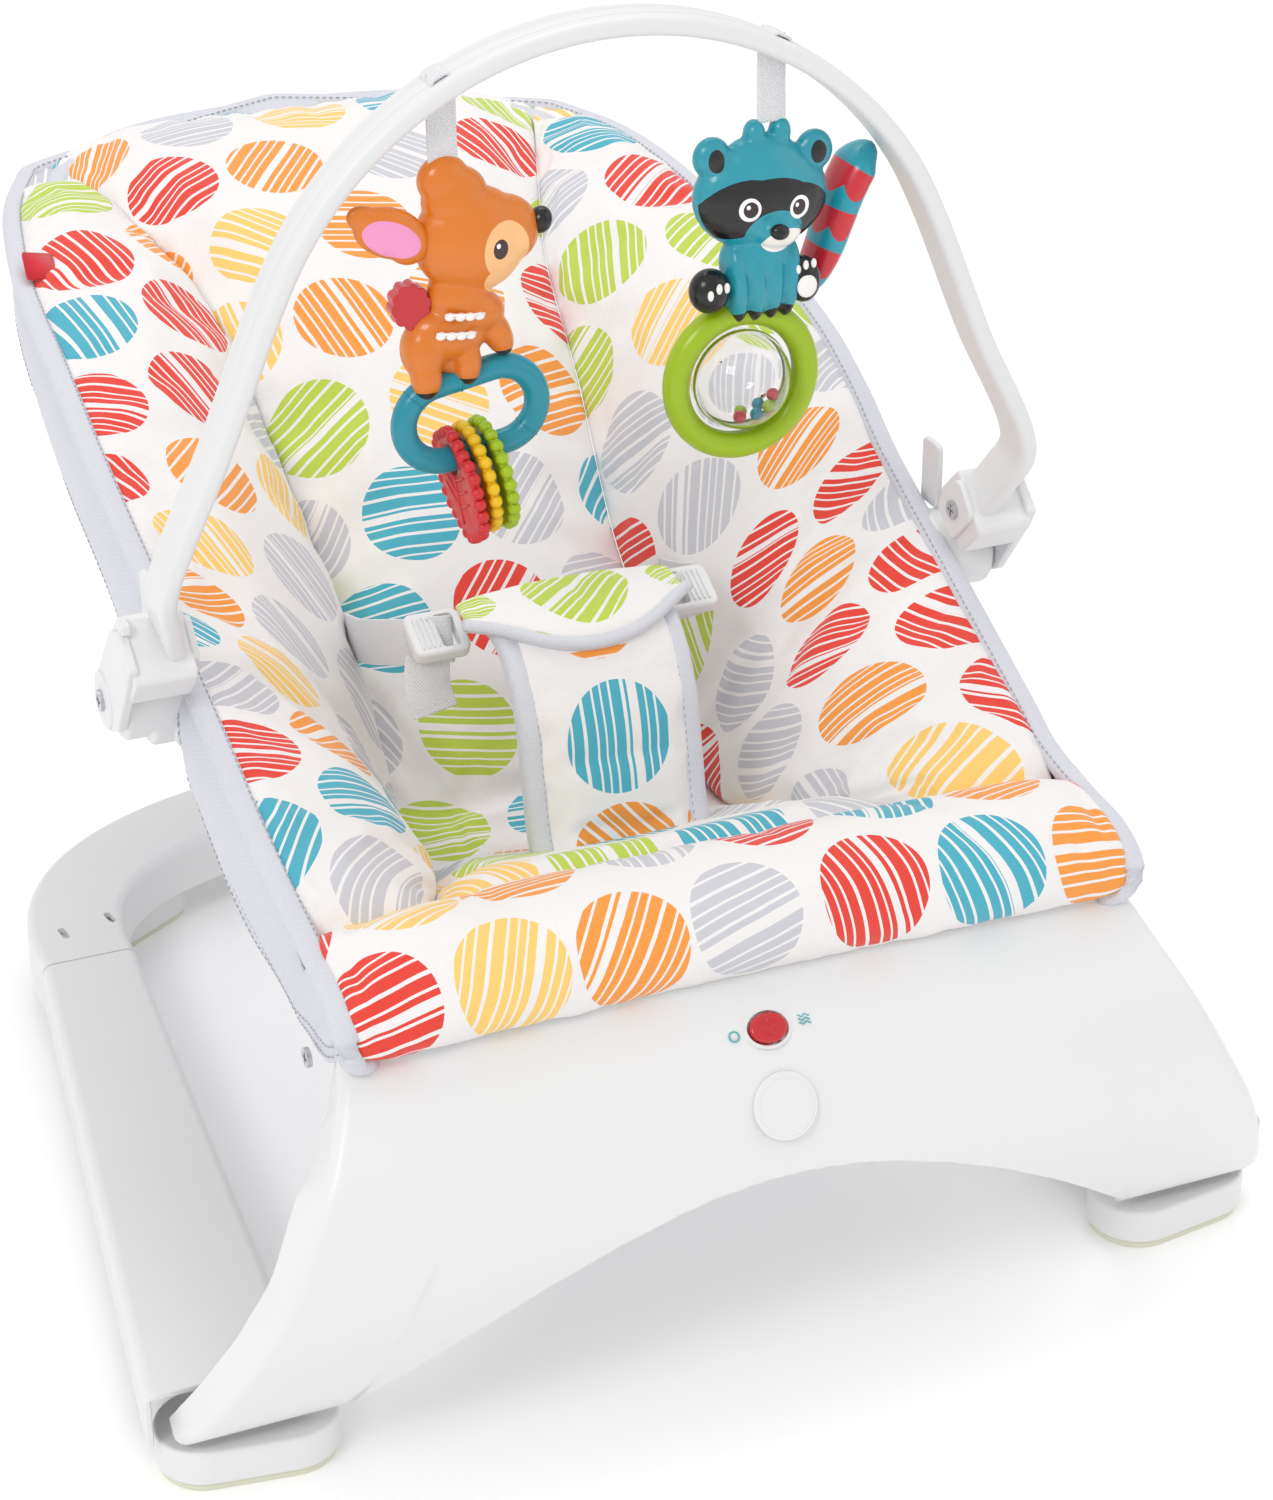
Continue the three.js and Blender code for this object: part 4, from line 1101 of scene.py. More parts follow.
def pad(name, middle, uv, up_fill, down_fill, material, power=4.0, flip=False, wide=None):
    """A closed pad over a grid of points: printed cloth above, lining below, thin at its edges."""
    rows, cols = middle.shape[:2]
    normal = unit(np.cross(np.gradient(middle, axis=1), np.gradient(middle, axis=0)))
    if flip:
        normal = -normal
    full = np.outer(crown(np.linspace(0, 1, rows), 8), crown(np.linspace(0, 1, cols), power))
    if wide is not None:
        full *= wide
    seam = 1.2
    top = middle + normal * (seam + up_fill * full)[..., None]
    base = middle - normal * (seam + down_fill * full)[..., None]
    points = np.vstack([top.reshape(-1, 3), base.reshape(-1, 3)])
    count = rows * cols
    faces = quads(rows, cols)
    faces += [tuple(count + i for i in face[::-1]) for face in quads(rows, cols)]
    edge = (
        [(0, c) for c in range(cols)] + [(r, cols - 1) for r in range(1, rows)]
        + [(rows - 1, c) for c in range(cols - 2, -1, -1)] + [(r, 0) for r in range(rows - 2, 0, -1)]
    )
    ring = [r * cols + c for r, c in edge]
    for a, b in zip(ring, ring[1:] + ring[:1]):
        faces.append((b, a, count + a, count + b))
    made = make(name, points, faces, [material, lining], np.vstack([uv.reshape(-1, 2)] * 2))
    quad_count = (rows - 1) * (cols - 1)
    below = np.zeros(len(made.data.polygons), int)
    below[quad_count:2 * quad_count] = 1
    made.data.polygons.foreach_set("material_index", below)
    pins = made.vertex_groups.new(name="pins")
    pins.add(ring + [count + i for i in ring], 1.0, "REPLACE")
    return made


def cloth_uv(middle, zero):
    """Flat cloth coordinates in millimetres. Each row is laid at its true angle to column `zero`."""
    steps = np.linalg.norm(np.diff(middle, axis=1), axis=-1)
    across = np.concatenate([np.zeros((middle.shape[0], 1)), np.cumsum(steps, axis=1)], axis=1)
    across = across - across[:, zero:zero + 1]
    start = middle[:, zero]
    along = unit(np.gradient(start, axis=0))
    ahead = unit(middle[:, min(zero + 1, middle.shape[1] - 1)] - start)
    lean = (along * ahead).sum(1)
    reach = min(22, len(lean) // 4)
    window = np.full(2 * reach + 1, 1 / (2 * reach + 1))
    lean = np.convolve(np.pad(lean, reach, "edge"), window, "valid")[:, None]
    run = distance_along(start)[:, None]
    return np.stack([across * np.sqrt(1 - lean**2), run + across * lean], -1)


sling = table(SLING, ROWS)
middle_line = np.stack([np.zeros(ROWS), sling[:, 0], sling[:, 1]], 1)
seam_line = sling[:, 2:5]
rim_line = sling[:, 5:8]
down_share = np.linspace(0, 1, ROWS)


def centre_panel():
    """Seat and back between the two seams, up to the round head end."""
    cols = 57
    s = np.linspace(-1, 1, cols)
    squareness = lerp(2.0, 4.0, down_share)[:, None]
    bow = np.abs(s)[None, :] ** squareness
    grid = np.zeros((ROWS, cols, 3))
    grid[..., 0] = seam_line[:, :1] * s
    for k in (1, 2):
        grid[..., k] = lerp(middle_line[:, k:k + 1], seam_line[:, k:k + 1], bow)
    return pad("back_and_seat_cover", grid, cloth_uv(grid, cols // 2), 9, 8, print_main, 5.0)


def wing(sign, word):
    """Puffy side of the sling, from the seam up to the rim."""
    cols = 31
    s = np.linspace(0, 1, cols)
    inner, outer = seam_line, rim_line - np.array([2.5, 0, -0.5])
    span = outer - inner
    width = np.linalg.norm(span, axis=1, keepdims=True)
    rise = unit(np.stack([-span[:, 2], np.zeros(ROWS), span[:, 0]], 1))
    belly = np.sin(np.pi * s)[None, :, None] * np.clip(width / 110, 0, 1)[:, None]
    grid = inner[:, None] + span[:, None] * s[None, :, None] + rise[:, None] * belly * 3
    uv = cloth_uv(grid, 0)
    wide = np.clip(width / 90, 0.15, 1)
    if sign < 0:
        grid = mirror(grid)
    return pad(f"{word}_wing_cover", grid, uv, 12, 7, print_wings[word], 3.2, flip=sign < 0, wide=wide)


# the roll from the side, from the panel's top over to the seat: y, z
ROLL = [(8, 181), (1.5, 186), (0, 195), (5, 205), (19, 212), (38, 213.5), (54, 208), (68, 198), (77, 190)]
ROLL_HALF = 164
ROLL_LOW = ROLL[0][1]


def front_roll():
    """The padded front edge of the seat, from the panel's top over to the seat."""
    rows, cols = 31, 91
    section = spline(ROLL, rows)
    s = np.linspace(-1, 1, cols)
    grid = np.zeros((rows, cols, 3))
    sag = 1 - 0.10 * np.abs(s) ** 6
    grid[..., 0] = ROLL_HALF * s
    grid[..., 1] = section[:, :1] + 0 * s
    grid[..., 2] = ROLL_LOW + (section[:, 1:] - ROLL_LOW) * sag
    uv = cloth_uv(grid, cols // 2)
    return pad("front_roll_cover", grid, uv, 3, 3, print_roll, 9.0)


print_main = printed("printed_back", 3)
print_wings = {"right": printed("printed_right_wing", 11), "left": printed("printed_left_wing", 23)}
ROLL_COLOURS = [YELLOW, ORANGE, GREY, RED, TEAL, ORANGE, RED]
print_roll = printed("printed_roll", 5, ROLL_COLOURS, True, (0.026, -0.001), 0.0505)
print_pad = printed("printed_pad", 8, [TEAL, ORANGE], False, (0.0272, -0.034), DISC_PITCH, 0.0)
print_flap = printed("printed_flap", 9, [GREEN], False, (0.0272, 0.012))

pads = [centre_panel(), wing(1, "right"), wing(-1, "left"), front_roll()]


def puff(pieces, pressure=4.0, grow=0.03, cap=7.0, frames=20):
    """Blows the pads up as cloth held at their seams, and keeps each point within `cap` millimetres."""
    rest = []
    for thing in pieces:
        rest.append(np.array([v.co for v in thing.data.vertices]))
        step = thing.modifiers.new("Cloth", "CLOTH")
        settings = step.settings
        settings.quality = 5
        settings.mass = 0.25
        settings.tension_stiffness = settings.compression_stiffness = 10
        settings.shear_stiffness = 4
        settings.bending_stiffness = 0.2
        settings.air_damping = 2
        settings.use_pressure = True
        settings.uniform_pressure_force = pressure
        settings.shrink_min = -grow
        settings.vertex_group_mass = "pins"
        settings.effector_weights.gravity = 0
        step.collision_settings.use_collision = False
    scene = bpy.context.scene
    for number in range(1, frames + 1):
        scene.frame_set(number)
    view = bpy.context.evaluated_depsgraph_get()
    results = [np.array([v.co for v in thing.evaluated_get(view).data.vertices]) for thing in pieces]
    for thing, start, end in zip(pieces, rest, results):
        thing.modifiers.clear()
        move = end - start
        far = np.linalg.norm(move, axis=1, keepdims=True)
        move *= np.minimum(1, cap * MM / np.maximum(far, 1e-9))
        thing.data.vertices.foreach_set("co", (start + move).ravel())
        thing.data.update()
    scene.frame_set(1)


puff(pads[:3])
puff(pads[3:], 3.0, 0.02, 4.0)
stands = [
    ("back_pad", "seat_pad"), ("right_side_wing",), ("left_side_wing",), ("front_roll",),
]
for thing, names in zip(pads, stands):
    subdivide(thing)
    place(thing, "seat", "print_fabric", *names)


# ---- rim, side panels and bindings --------------------------------------------------------------
def stitches(name, path, out, pitch=3.4, length=2.1, radius=0.28):
    """A row of thread stitches along a path, standing on a surface that faces `out`."""
    path = np.asarray(path, float)
    total = np.linalg.norm(np.diff(path, axis=0), axis=1).sum()
    count = int(total / pitch)
    spots = even(path, count)
    out = even(np.asarray(out, float), count) if np.ndim(out) == 2 else np.tile(out, (count, 1))
    ahead = unit(np.gradient(spots, axis=0))
    side = unit(np.cross(out, ahead))
    lift = np.cross(ahead, side)
    ring = oval(2 * radius, 2 * radius, 6)
    points, faces = [], []
    for a, f, s, n in zip(spots, ahead, side, lift):
        start = len(points)
        for reach, size in ((-0.5, 0.45), (-0.25, 1.0), (0.25, 1.0), (0.5, 0.45)):
            for x, y in ring:
                points.append(a + f * reach * length + s * x * size + n * y * size)
        faces += [tuple(start + i for i in face) for face in quads(4, 6, False, True)]
        faces += [tuple(range(start, start + 6)), tuple(range(start + 18, start + 24))]
    return make(name, points, faces, thread)


def full_rim(line):
    """A line up the right-hand side, over the head end and down the left."""
    return np.vstack([line, mirror(line[::-1])])


def rim_sleeve():
    """Grey sleeve of the cover, which the frame tube runs through."""
    keep = half_tube[half_tube[:, 1] > 66]
    path = spline(full_rim(keep[::8] + np.array([0, 0, 1.5])), 260)
    return sweep("rim_sleeve", path, oval(21, 23, 28), Z, grey_cloth)


rim_band = rim_sleeve()
place(rim_band, "seat", "grey_fabric")

rim_front = [(157, 7, 179), (164.5, 1, 184), (166.5, 0, 194), (166.5, 13, 204), (165.5, 42, 209)]
rim_end = [(120, 566, 357), (88, 583, 360), (40, 592, 362), (0, 595, 363)]
rim_top = np.vstack([rim_front, rim_line[1:-1], rim_end])
binding_path = spline(full_rim(np.vstack([rim_top[:5], rim_top[14::4]])), 340)
binding = sweep("rim_binding", binding_path, rounded(10, 7, 3.4, 5), Z, grey_cloth)
place(binding, "seat", "grey_fabric")


def inward_of(path):
    """Level directions from a rim path towards the middle of the seat."""
    side, _ = directions(path, Z)
    towards = np.array([0, 300, 0]) - path
    return side * np.sign((side * towards).sum(1, keepdims=True))


lines = binding_path + inward_of(binding_path) * 3.6 + Z * 3.4
place(stitches("rim_stitches", lines, Z), "seat", "grey_fabric")


def side_panel(sign, word):
    """Grey outer side of the cover, from the rim down over the tube to a stitched hem."""
    ys = np.linspace(5, 500, 110)
    tube_x = np.interp(ys, half_tube[:, 1], half_tube[:, 0])
    tube_z = np.interp(ys, half_tube[:, 1], half_tube[:, 2])
    rim = rim_top[np.argsort(rim_top[:, 1])]
    top_x = np.interp(ys, rim[:, 1], rim[:, 0]) + 1.5
    top = np.interp(ys, rim[:, 1], rim[:, 2]) - 1.5
    hem = tube_z - np.interp(ys, [5, 20, 60, 110, 170, 260, 420, 500], [-20, -6, 18, 30, 34, 30, 24, 8])
    notch = np.exp(-(((ys - 199) / 25) ** 8))
    hem = lerp(hem, top - 7, notch)
    rows = 15
    drop = np.linspace(0, 1, rows)[:, None]
    z = lerp(top[None, :], hem[None, :], drop)
    level = np.clip((z - tube_z[None, :]) / 26, -1.4, 1)
    over_tube = np.maximum(top_x, tube_x + 11.0 * np.sqrt(np.clip(1 - level**2, 0.0, 1)))
    waves = 0.9 * np.sin(ys / 17.0)[None, :] * drop**2
    x = lerp(top_x[None, :], over_tube, np.clip(drop * 4, 0, 1)) + waves
    grid = np.stack(np.broadcast_arrays(x * sign, ys[None, :], z), -1)
    points = grid.reshape(-1, 3)
    made = make(f"{word}_side_panel", points, quads(rows, len(ys)), grey_cloth, closed=False)
    thick = made.modifiers.new("Thickness", "SOLIDIFY")
    thick.thickness = 1.6 * MM
    thick.offset = 0
    subdivide(made)
    out = np.array([sign, 0, 0])
    hems = []
    for up in (3.0, 7.5):
        share = 1 - up / np.maximum(top - hem, 10)
        line_x = [np.interp(t, drop[:, 0], x[:, c]) for c, t in enumerate(share)]
        line = np.stack([sign * (np.array(line_x) + 1.0), ys, hem + up], 1)
        hems.append(stitches("hem", line, out))
    return made, merge(f"{word}_hem_stitches", hems)


for sign, word in SIDES:
    panel, hem_rows = side_panel(sign, word)
    place(panel, "seat", "grey_fabric", f"{word}_side_sleeve")
    place(hem_rows, "seat", "grey_fabric")
    bpy.context.view_layer.update()


# ---- crotch restraint ---------------------------------------------------------------------------
# the pad from the side, from the seat up and back to its top: y, z
PAD_LINE = [(129, 163), (140, 180), (146, 204), (154, 233), (171, 253), (202, 259)]
PAD_HALF = 36
FLAP_HALF = 49
FLAP_LIFT = 8.5


def pad_path(count):
    return spline([(0, y, z) for y, z in PAD_LINE], count)


def crotch_pad():
    path = pad_path(40)
    cols = 25
    s = np.linspace(-1, 1, cols)
    grid = path[:, None] + PAD_HALF * s[None, :, None] * X
    return pad("crotch_pad_cover", grid, cloth_uv(grid, cols // 2), 5.5, 4.5, print_pad, 5.0)


def surface_up(path):
    """Directions across a path that runs in a plane of constant x."""
    tangent = unit(np.gradient(path, axis=0))
    return np.cross(X, tangent)


def pad_edges():
    parts = []
    path = pad_path(60)
    for sign in (-1, 1):
        parts.append(sweep("edge", path + X * sign * 35.6, rounded(10.5, 9.5, 3.6, 5), X, grey_cloth))
        front = surface_up(path)
        front *= np.sign(front[:, 2:3] - front[:, 1:2])
        parts.append(stitches("edge_stitches", path + X * sign * 32.7 + front * 4.6, front))
    return merge("crotch_pad_binding", parts)


def flap():
    """Top flap with a curved front edge, bound in grey."""
    base = pad_path(80)
    out = surface_up(base)
    out *= np.sign(out[:, 1:2] * -1 + out[:, 2:3])
    cols, rows = 33, 17
    s = np.linspace(-1, 1, cols)
    front = 0.71 + 0.17 * np.abs(s) ** 2.2
    grid = np.zeros((rows, cols, 3))
    for c in range(cols):
        t = np.linspace(1.0, front[c], rows) * 79
        for k in range(3):
            grid[:, c, k] = np.interp(t, np.arange(80), base[:, k] + out[:, k] * FLAP_LIFT)
        grid[:, c, 0] = FLAP_HALF * s[c]
        grid[:, c, 2] -= 5 * abs(s[c]) ** 3
    uv = cloth_uv(grid, cols // 2)
    cover = pad("crotch_flap_cover", grid, uv, 2.5, 0.5, print_flap, 5.0, flip=True)
    edge_path = spline(grid[-1][::2], 70)
    tape = rounded(9.5, 5.0, 2.2, 5)
    return cover, sweep("crotch_flap_binding", edge_path, tape, Y + Z, grey_cloth)


crotch_cover = crotch_pad()
flap_cover, flap_binding = flap()
puff([crotch_cover, flap_cover], 3.0, 0.02, 3.0)
for thing in (crotch_cover, flap_cover):
    subdivide(thing)
place(crotch_cover, "crotch_restraint", "print_fabric", "crotch_pad")
place(flap_cover, "crotch_restraint", "print_fabric", "crotch_flap")
place(flap_binding, "crotch_restraint", "grey_fabric")
place(pad_edges(), "crotch_restraint", "grey_fabric")


# the right-hand waist belt, from its buckle to the seat
BELT = [(50, 201, 248), (66, 206, 247), (73, 222, 241), (75, 246, 231), (75, 268, 224)]
WEBBING_WIDTH = 20


def strap(name, points, width, thick, up, count=30):
    return sweep(name, spline(points, count), rounded(thick, width, thick * 0.4, 2), up, webbing, uv=True)


def buckle(sign, word):
    """Frame of a ladder-lock buckle with a ridged bar. The belt through it and its short tail are made
    below.
    """
    centre = np.array([sign * 57, 202, 250])
    out = unit(np.array([0, -0.45, 0.9]))
    up = np.array([0, 0.9, 0.45])
    frame_body = slab("frame", rounded(25, 23, 4, 5), centre, X, up, 6.5, bar_white, 1.5)
    window = slab("window", rounded(8, 17, 1.5, 3), centre - X * sign * 4.5, X, up, 20, bar_white)
    carve(frame_body, window)
    bevel(frame_body, 0.8, 2, 50)
    parts = [frame_body]
    for k in range(4):
        spot = centre + X * sign * (1.5 + 2.3 * k) + out * 3.4
        parts.append(slab("ridge", rounded(1.1, 17, 0.5, 2), spot, X, up, 1.2, bar_white, 0.3))
    return merge(f"{word}_buckle_frame", parts)


for sign, word in SIDES:
    place(buckle(sign, word), f"{word}_buckle", "white_plastic", f"{word}_buckle")
    run = [(sign * x, y, z) for x, y, z in BELT]
    belt = strap(f"{word}_belt_webbing", run, WEBBING_WIDTH, 1.6, Y * 0.45 + Z)
    place(belt, f"{word}_buckle", "webbing", f"{word}_waist_belt")
tail_run = [(-62, 199, 243), (-64, 195, 232), (-62, 191, 220)]
tail = strap("left_belt_tail", tail_run, WEBBING_WIDTH, 1.5, X)
place(tail, "left_buckle", "webbing")

# plain red tag sewn into the rim
tag_cloth = cloth("tag_cloth", rgb(214, 30, 44))
tag_side, tag_up = (0.95, -0.1, -0.15), (0.1, 0.9, 0.42)
tag = slab("side_tag", rounded(14, 17, 1.2, 3), (-160, 437, 350), tag_side, tag_up, 1.2, tag_cloth)
place(tag, "seat", "print_fabric")

# ---- toys ---------------------------------------------------------------------------------------
FAWN_X = -68
RACCOON_X = 68
fawn_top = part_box("fawn_body")[1].z / MM
raccoon_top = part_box("raccoon_body")[1].z / MM


def toy_strap(name, x, low):
    """Webbing from a slot in the bar down to a toy."""
    radius = math.sqrt(BAR_R**2 - x**2)
    top = BAR_TOP - BAR_R + radius
    run = [(x, BAR_Y - 1, low - 2)]
    run += [(x, BAR_Y, z) for z in (lerp(low, top, 0.5), top - 6, top + 4.0)]
    return strap(name, run, 12, 1.7, X, 40)


def strap_fold(name, x):
    """Where the webbing shows on top of the bar."""
    angle = math.acos(x / BAR_R)
    centre = np.array([BAR_R * math.cos(angle), BAR_Y, BAR_TOP - BAR_R + BAR_R * math.sin(angle)])
    out = unit(centre - BAR_CENTRE)
    along_bar = np.cross(Y, out)
    fold = ((3.0, -4.5), (4.9, -3.0), (5.2, 0), (4.9, 3.0), (3.0, 4.5))
    return strap(name, [centre + out * r + along_bar * a for r, a in fold], 13, 1.4, Y, 16)


for name, x, low in (("fawn", FAWN_X, fawn_top), ("raccoon", RACCOON_X, raccoon_top)):
    place(toy_strap(f"{name}_strap_webbing", x, low), f"{name}_toy", "webbing", f"{name}_strap")
    place(strap_fold(f"{name}_strap_fold", x), "toy_bar", "webbing")

CREAM = rgb(246, 190, 130)
fawn_orange = rgb(222, 122, 30)
fawn_paint = painted("fawn_plastic", fawn_orange, [
    (CREAM, (-46.5, fawn_top - 37, 10, 12, 8), (-47.5, fawn_top - 49, 8, 6.5)),
    (rgb(60, 28, 30), (-49.6, fawn_top - 35.5, 3.2, 4.0)),
    # painted highlight: a small white glint on the fawn's eye
    (rgb(255, 255, 255), (-50.6, fawn_top - 34.0, 0.9, 1.0)),
    (
        rgb(35, 22, 20),
        (-78, fawn_top - 93.6, 7, 2.6), (-62, fawn_top - 90.4, 7, 2.6), (-44, fawn_top - 81.5, 7, 2.6),
    ),
])


def at_toy(top, rows):
    """Ellipsoids for `moulded` from rows: x, y from the bar, z from the toy's top, radii and turn."""
    return [((x, BAR_Y + y, top + z), (rx, ry, rz), turn) for x, y, z, rx, ry, rz, turn in rows]


FAWN = [  # head, neck, chest, body, then legs
    (-68, 0, -9, 10.5, 7.5, 9.5, -20), (-60, 0, -13, 10, 7.5, 8, 30), (-63, 0, -19, 14, 10, 11, 12),
    (-57.5, 0, -34, 23, 13.5, 21.5, 8), (-44, 0, -32, 14.5, 10.5, 14, 20), (-63, 0, -56, 13, 9.5, 13, 0),
    (-58, -1, -62, 13.5, 9.5, 9, 10), (-68, 0, -70, 16.5, 10.5, 11, 6), (-78, 0, -76, 9, 9.5, 12, 0),
    (-78, -3, -86, 6.3, 6.5, 9.5, 0), (-67, 2, -81, 5.5, 6, 8.5, 0), (-61, -3, -82, 5.6, 6, 10, 0),
    (-48.5, -1, -72, 6.0, 6.5, 11.5, -26),
]


def fawn():
    return moulded("fawn_figure", at_toy(fawn_top, FAWN), fawn_paint, 0.8, 8)


place(fawn(), "fawn_toy", "orange_plastic", "fawn_body")
ear_paint = painted("fawn_ear_plastic", fawn_orange, [
    (rgb(240, 150, 196), (-91.5, fawn_top - 27.5, 12, 6.8, -24)),
])
EAR = [
    (-91, -4, -26, 15.5, 4.6, 10.0, 22), (-100, -4, -20, 8.5, 3.6, 5.6, 26), (-84, -4, -31, 9, 4.8, 8.5, 20),
]
ear = moulded("fawn_ear_shell", at_toy(fawn_top, EAR), ear_paint, 0.7, 5)
place(ear, "fawn_toy", "orange_plastic", "fawn_ear")
nose = ball("fawn_nose", (-29.5, BAR_Y - 2, fawn_top - 29.5), (4.6, 5, 5.4), black_gloss, 20)
place(nose, "fawn_toy", "black_plastic")
marks_white = plastic("toy_white", rgb(244, 242, 238), 0.35)


def belly_marks():
    """Two rows of white scallops on the fawn's side."""
    parts = []
    for x0, z0, depth in ((-70, fawn_top - 60.5, 10.6), (-74, fawn_top - 67.5, 11.2)):
        for k in range(4):
            spot = (x0 + 4.0 * k, BAR_Y - depth + 0.3 * (k - 1.5) ** 2, z0 - 0.4 * k)
            parts.append(ball("mark", spot, (2.2, 1.2, 1.7), marks_white, 0, 14, 8))
        share = np.linspace(0, 1, 9)
        ys = BAR_Y - depth - 0.4 + 2.6 * (share - 0.5) ** 2
        bar = np.stack([x0 - 2 + 16 * share, ys, z0 + 1.2 - 1.6 * share], 1)
        parts.append(sweep("line", bar, oval(1.2, 1.5, 8), Y, marks_white))
    return merge("fawn_belly_marks", parts)


place(belly_marks(), "fawn_toy", "orange_plastic")
fan_angle = round_turn(120)
fan_reach = 8.0 * (0.9 + 0.13 * np.abs(np.cos(5 * fan_angle)))
fan = np.stack([fan_reach * np.cos(fan_angle), 1.15 * fan_reach * np.sin(fan_angle)], 1)
tail_spot = (-83, BAR_Y, fawn_top - 57)
tail_tag = slab("fawn_tail_fan", fan, tail_spot, (1, 0, 0.15), (-0.15, 0, 1), 7, red_gloss, 1.6)
place(tail_tag, "fawn_toy", "red_plastic", "fawn_tail_tag")

LOOP_TILT = math.radians(10)
LOOP_CENTRE = np.array([-59, BAR_Y, 372])
LOOP_ALONG = np.array([math.cos(LOOP_TILT), 0, math.sin(LOOP_TILT)])
LOOP_RISE = np.array([-math.sin(LOOP_TILT), 0, math.cos(LOOP_TILT)])
LOOP_HALF = 12
LOOP_ROUND = 16


def loop_line(count=120):
    half = np.linspace(-math.pi / 2, math.pi / 2, 24)
    right = [(LOOP_HALF + LOOP_ROUND * math.cos(a), LOOP_ROUND * math.sin(a)) for a in half]
    left = [(-x, -z) for x, z in right]
    pairs = np.array(right + left)
    line = LOOP_CENTRE + pairs[:, :1] * LOOP_ALONG + pairs[:, 1:] * LOOP_RISE
    return even(np.vstack([line, line[:1]]), count + 1)[:-1]


loop = sweep("fawn_clip_loop", loop_line(), oval(10.4, 10.0, 24), Y, teal_gloss, ring=True)
place(loop, "fawn_toy", "teal_plastic", "fawn_loop")
seams = []
for spot in (8, 52, 68, 112):
    line = loop_line()
    centre, ahead = line[spot], unit(line[(spot + 1) % 120] - line[spot])
    side = np.cross(ahead, Y)
    seams.append(hoop("seam", oval(10.3, 10.7, 24), centre, Y, side, oval(0.5, 0.5, 6), ahead, teal_gloss))
place(merge("fawn_loop_seams", seams), "fawn_toy", "teal_plastic")


def teether(name, place_on, radius, material, lobes, leaf=False):
    """A beaded disc that hangs by its hole from the loop's lower bar."""
    bar = LOOP_CENTRE + LOOP_ALONG * place_on - LOOP_RISE * LOOP_ROUND
    hole_drop = 0.9
    centre = bar - LOOP_RISE * (radius - 12.5 + hole_drop)
    angle = round_turn(96)
    reach = (radius - 1.6) * (1 + (0.04 * np.cos(6 * angle) if leaf else 0))
    outline = np.stack([reach * np.sin(angle), reach * np.cos(angle)], 1)
    disc = slab("disc", outline, centre, Y, LOOP_RISE, 3.6, material, 1.0)
    hole = slab("hole", oval(12, 12, 40), bar - LOOP_RISE * hole_drop, Y, LOOP_RISE, 20, material)
    carve(disc, hole)
    parts = [disc]
    for k in range(lobes):
        a = 2 * math.pi * (k + 0.5) / lobes
        r = (radius - 2.0) * (1 + (0.04 * math.cos(6 * a) if leaf else 0))
        spot = centre + Y * r * math.sin(a) + LOOP_RISE * r * math.cos(a)
        parts.append(ball("bead", spot, (2.7, 2.7, 2.7), material, 0, 14, 10))
    if leaf:
        for side in (-1, 1):
            face = centre + LOOP_ALONG * side * 1.9
            run = [face + LOOP_RISE * z for z in np.linspace(-radius * 0.7, radius * 0.25, 8)]
            parts.append(sweep("rib", run, oval(1.6, 1.0, 8), LOOP_ALONG, material))
            for z in (-0.4, -0.15, 0.1):
                for way in (-1, 1):
                    run = [
                        face + LOOP_RISE * radius * (z + 0.28 * t) + Y * way * radius * 0.55 * t
                        for t in np.linspace(0, 1, 6)
                    ]
                    parts.append(sweep("vein", run, oval(1.0, 0.8, 6), LOOP_ALONG, material))
    return merge(name, parts)


for word, place_on, radius, material, slot, lobes in (
    ("leaf", -10, 24, rose_gloss, "red_plastic", 26),
    ("yellow", -3, 22.5, yellow_gloss, "yellow_plastic", 24),
    ("green", 4, 23, green_gloss, "green_plastic", 24),
):
    disc = teether(f"{word}_disc", place_on, radius, material, lobes, word == "leaf")
    place(disc, f"{word}_teether", slot, f"{word}_teether")

raccoon_teal = rgb(34, 152, 170)
HEAD_Z = raccoon_top - 31.5
raccoon_paint = painted("raccoon_plastic", raccoon_teal, [
    (
        rgb(20, 20, 22),
        (51, HEAD_Z - 2, 17, 11.5, 20), (78, HEAD_Z - 5, 15, 11.0, -26), (64, HEAD_Z + 0.5, 18, 9.5),
    ),
    (raccoon_teal, (66, HEAD_Z - 13.5, 12.5, 10.5)),
    (rgb(250, 250, 250), (54.5, HEAD_Z - 1.5, 4.5, 4.8), (76, HEAD_Z - 3, 4.5, 4.8)),
    (rgb(48, 26, 26), (54.8, HEAD_Z - 1.5, 3.0, 3.3), (75.8, HEAD_Z - 3, 3.0, 3.3)),
    # painted highlight: a small white glint on each of the raccoon's eyes
    (rgb(255, 255, 255), (53.8, HEAD_Z - 0.4, 0.8, 0.9), (74.8, HEAD_Z - 1.9, 0.8, 0.9)),
    (rgb(244, 240, 234), (69, HEAD_Z - 15.5, 8.6, 5.6, 5)),
    (
        rgb(20, 20, 22),
        (43, raccoon_top - 14, 3.4, 4.6), (87, raccoon_top - 15.5, 3.4, 4.6),
        (56.5, raccoon_top - 80.5, 8, 4.4), (71, raccoon_top - 79.5, 8, 4.4),
    ),
], 0.24)


RACCOON = [  # head, crown, ears, muzzle, then body
    (64, 0, -31.5, 29, 13, 22, 4), (64, 0, -26.5, 22, 12, 20, 4),
    (61, 0, -6.5, 4.5, 5, 6, 0), (72, 0, -6.5, 4.5, 5, 6, 0),
    (43, 0, -14, 8, 5.5, 8.5, 0), (87, 0, -16, 8, 5.5, 8.5, 0), (68, -8, -43.5, 10, 8, 7.5, 0),
    (63, 0, -58, 16, 10.5, 15, 0), (63.5, 0, -68, 14.5, 10.5, 13, 0),
]


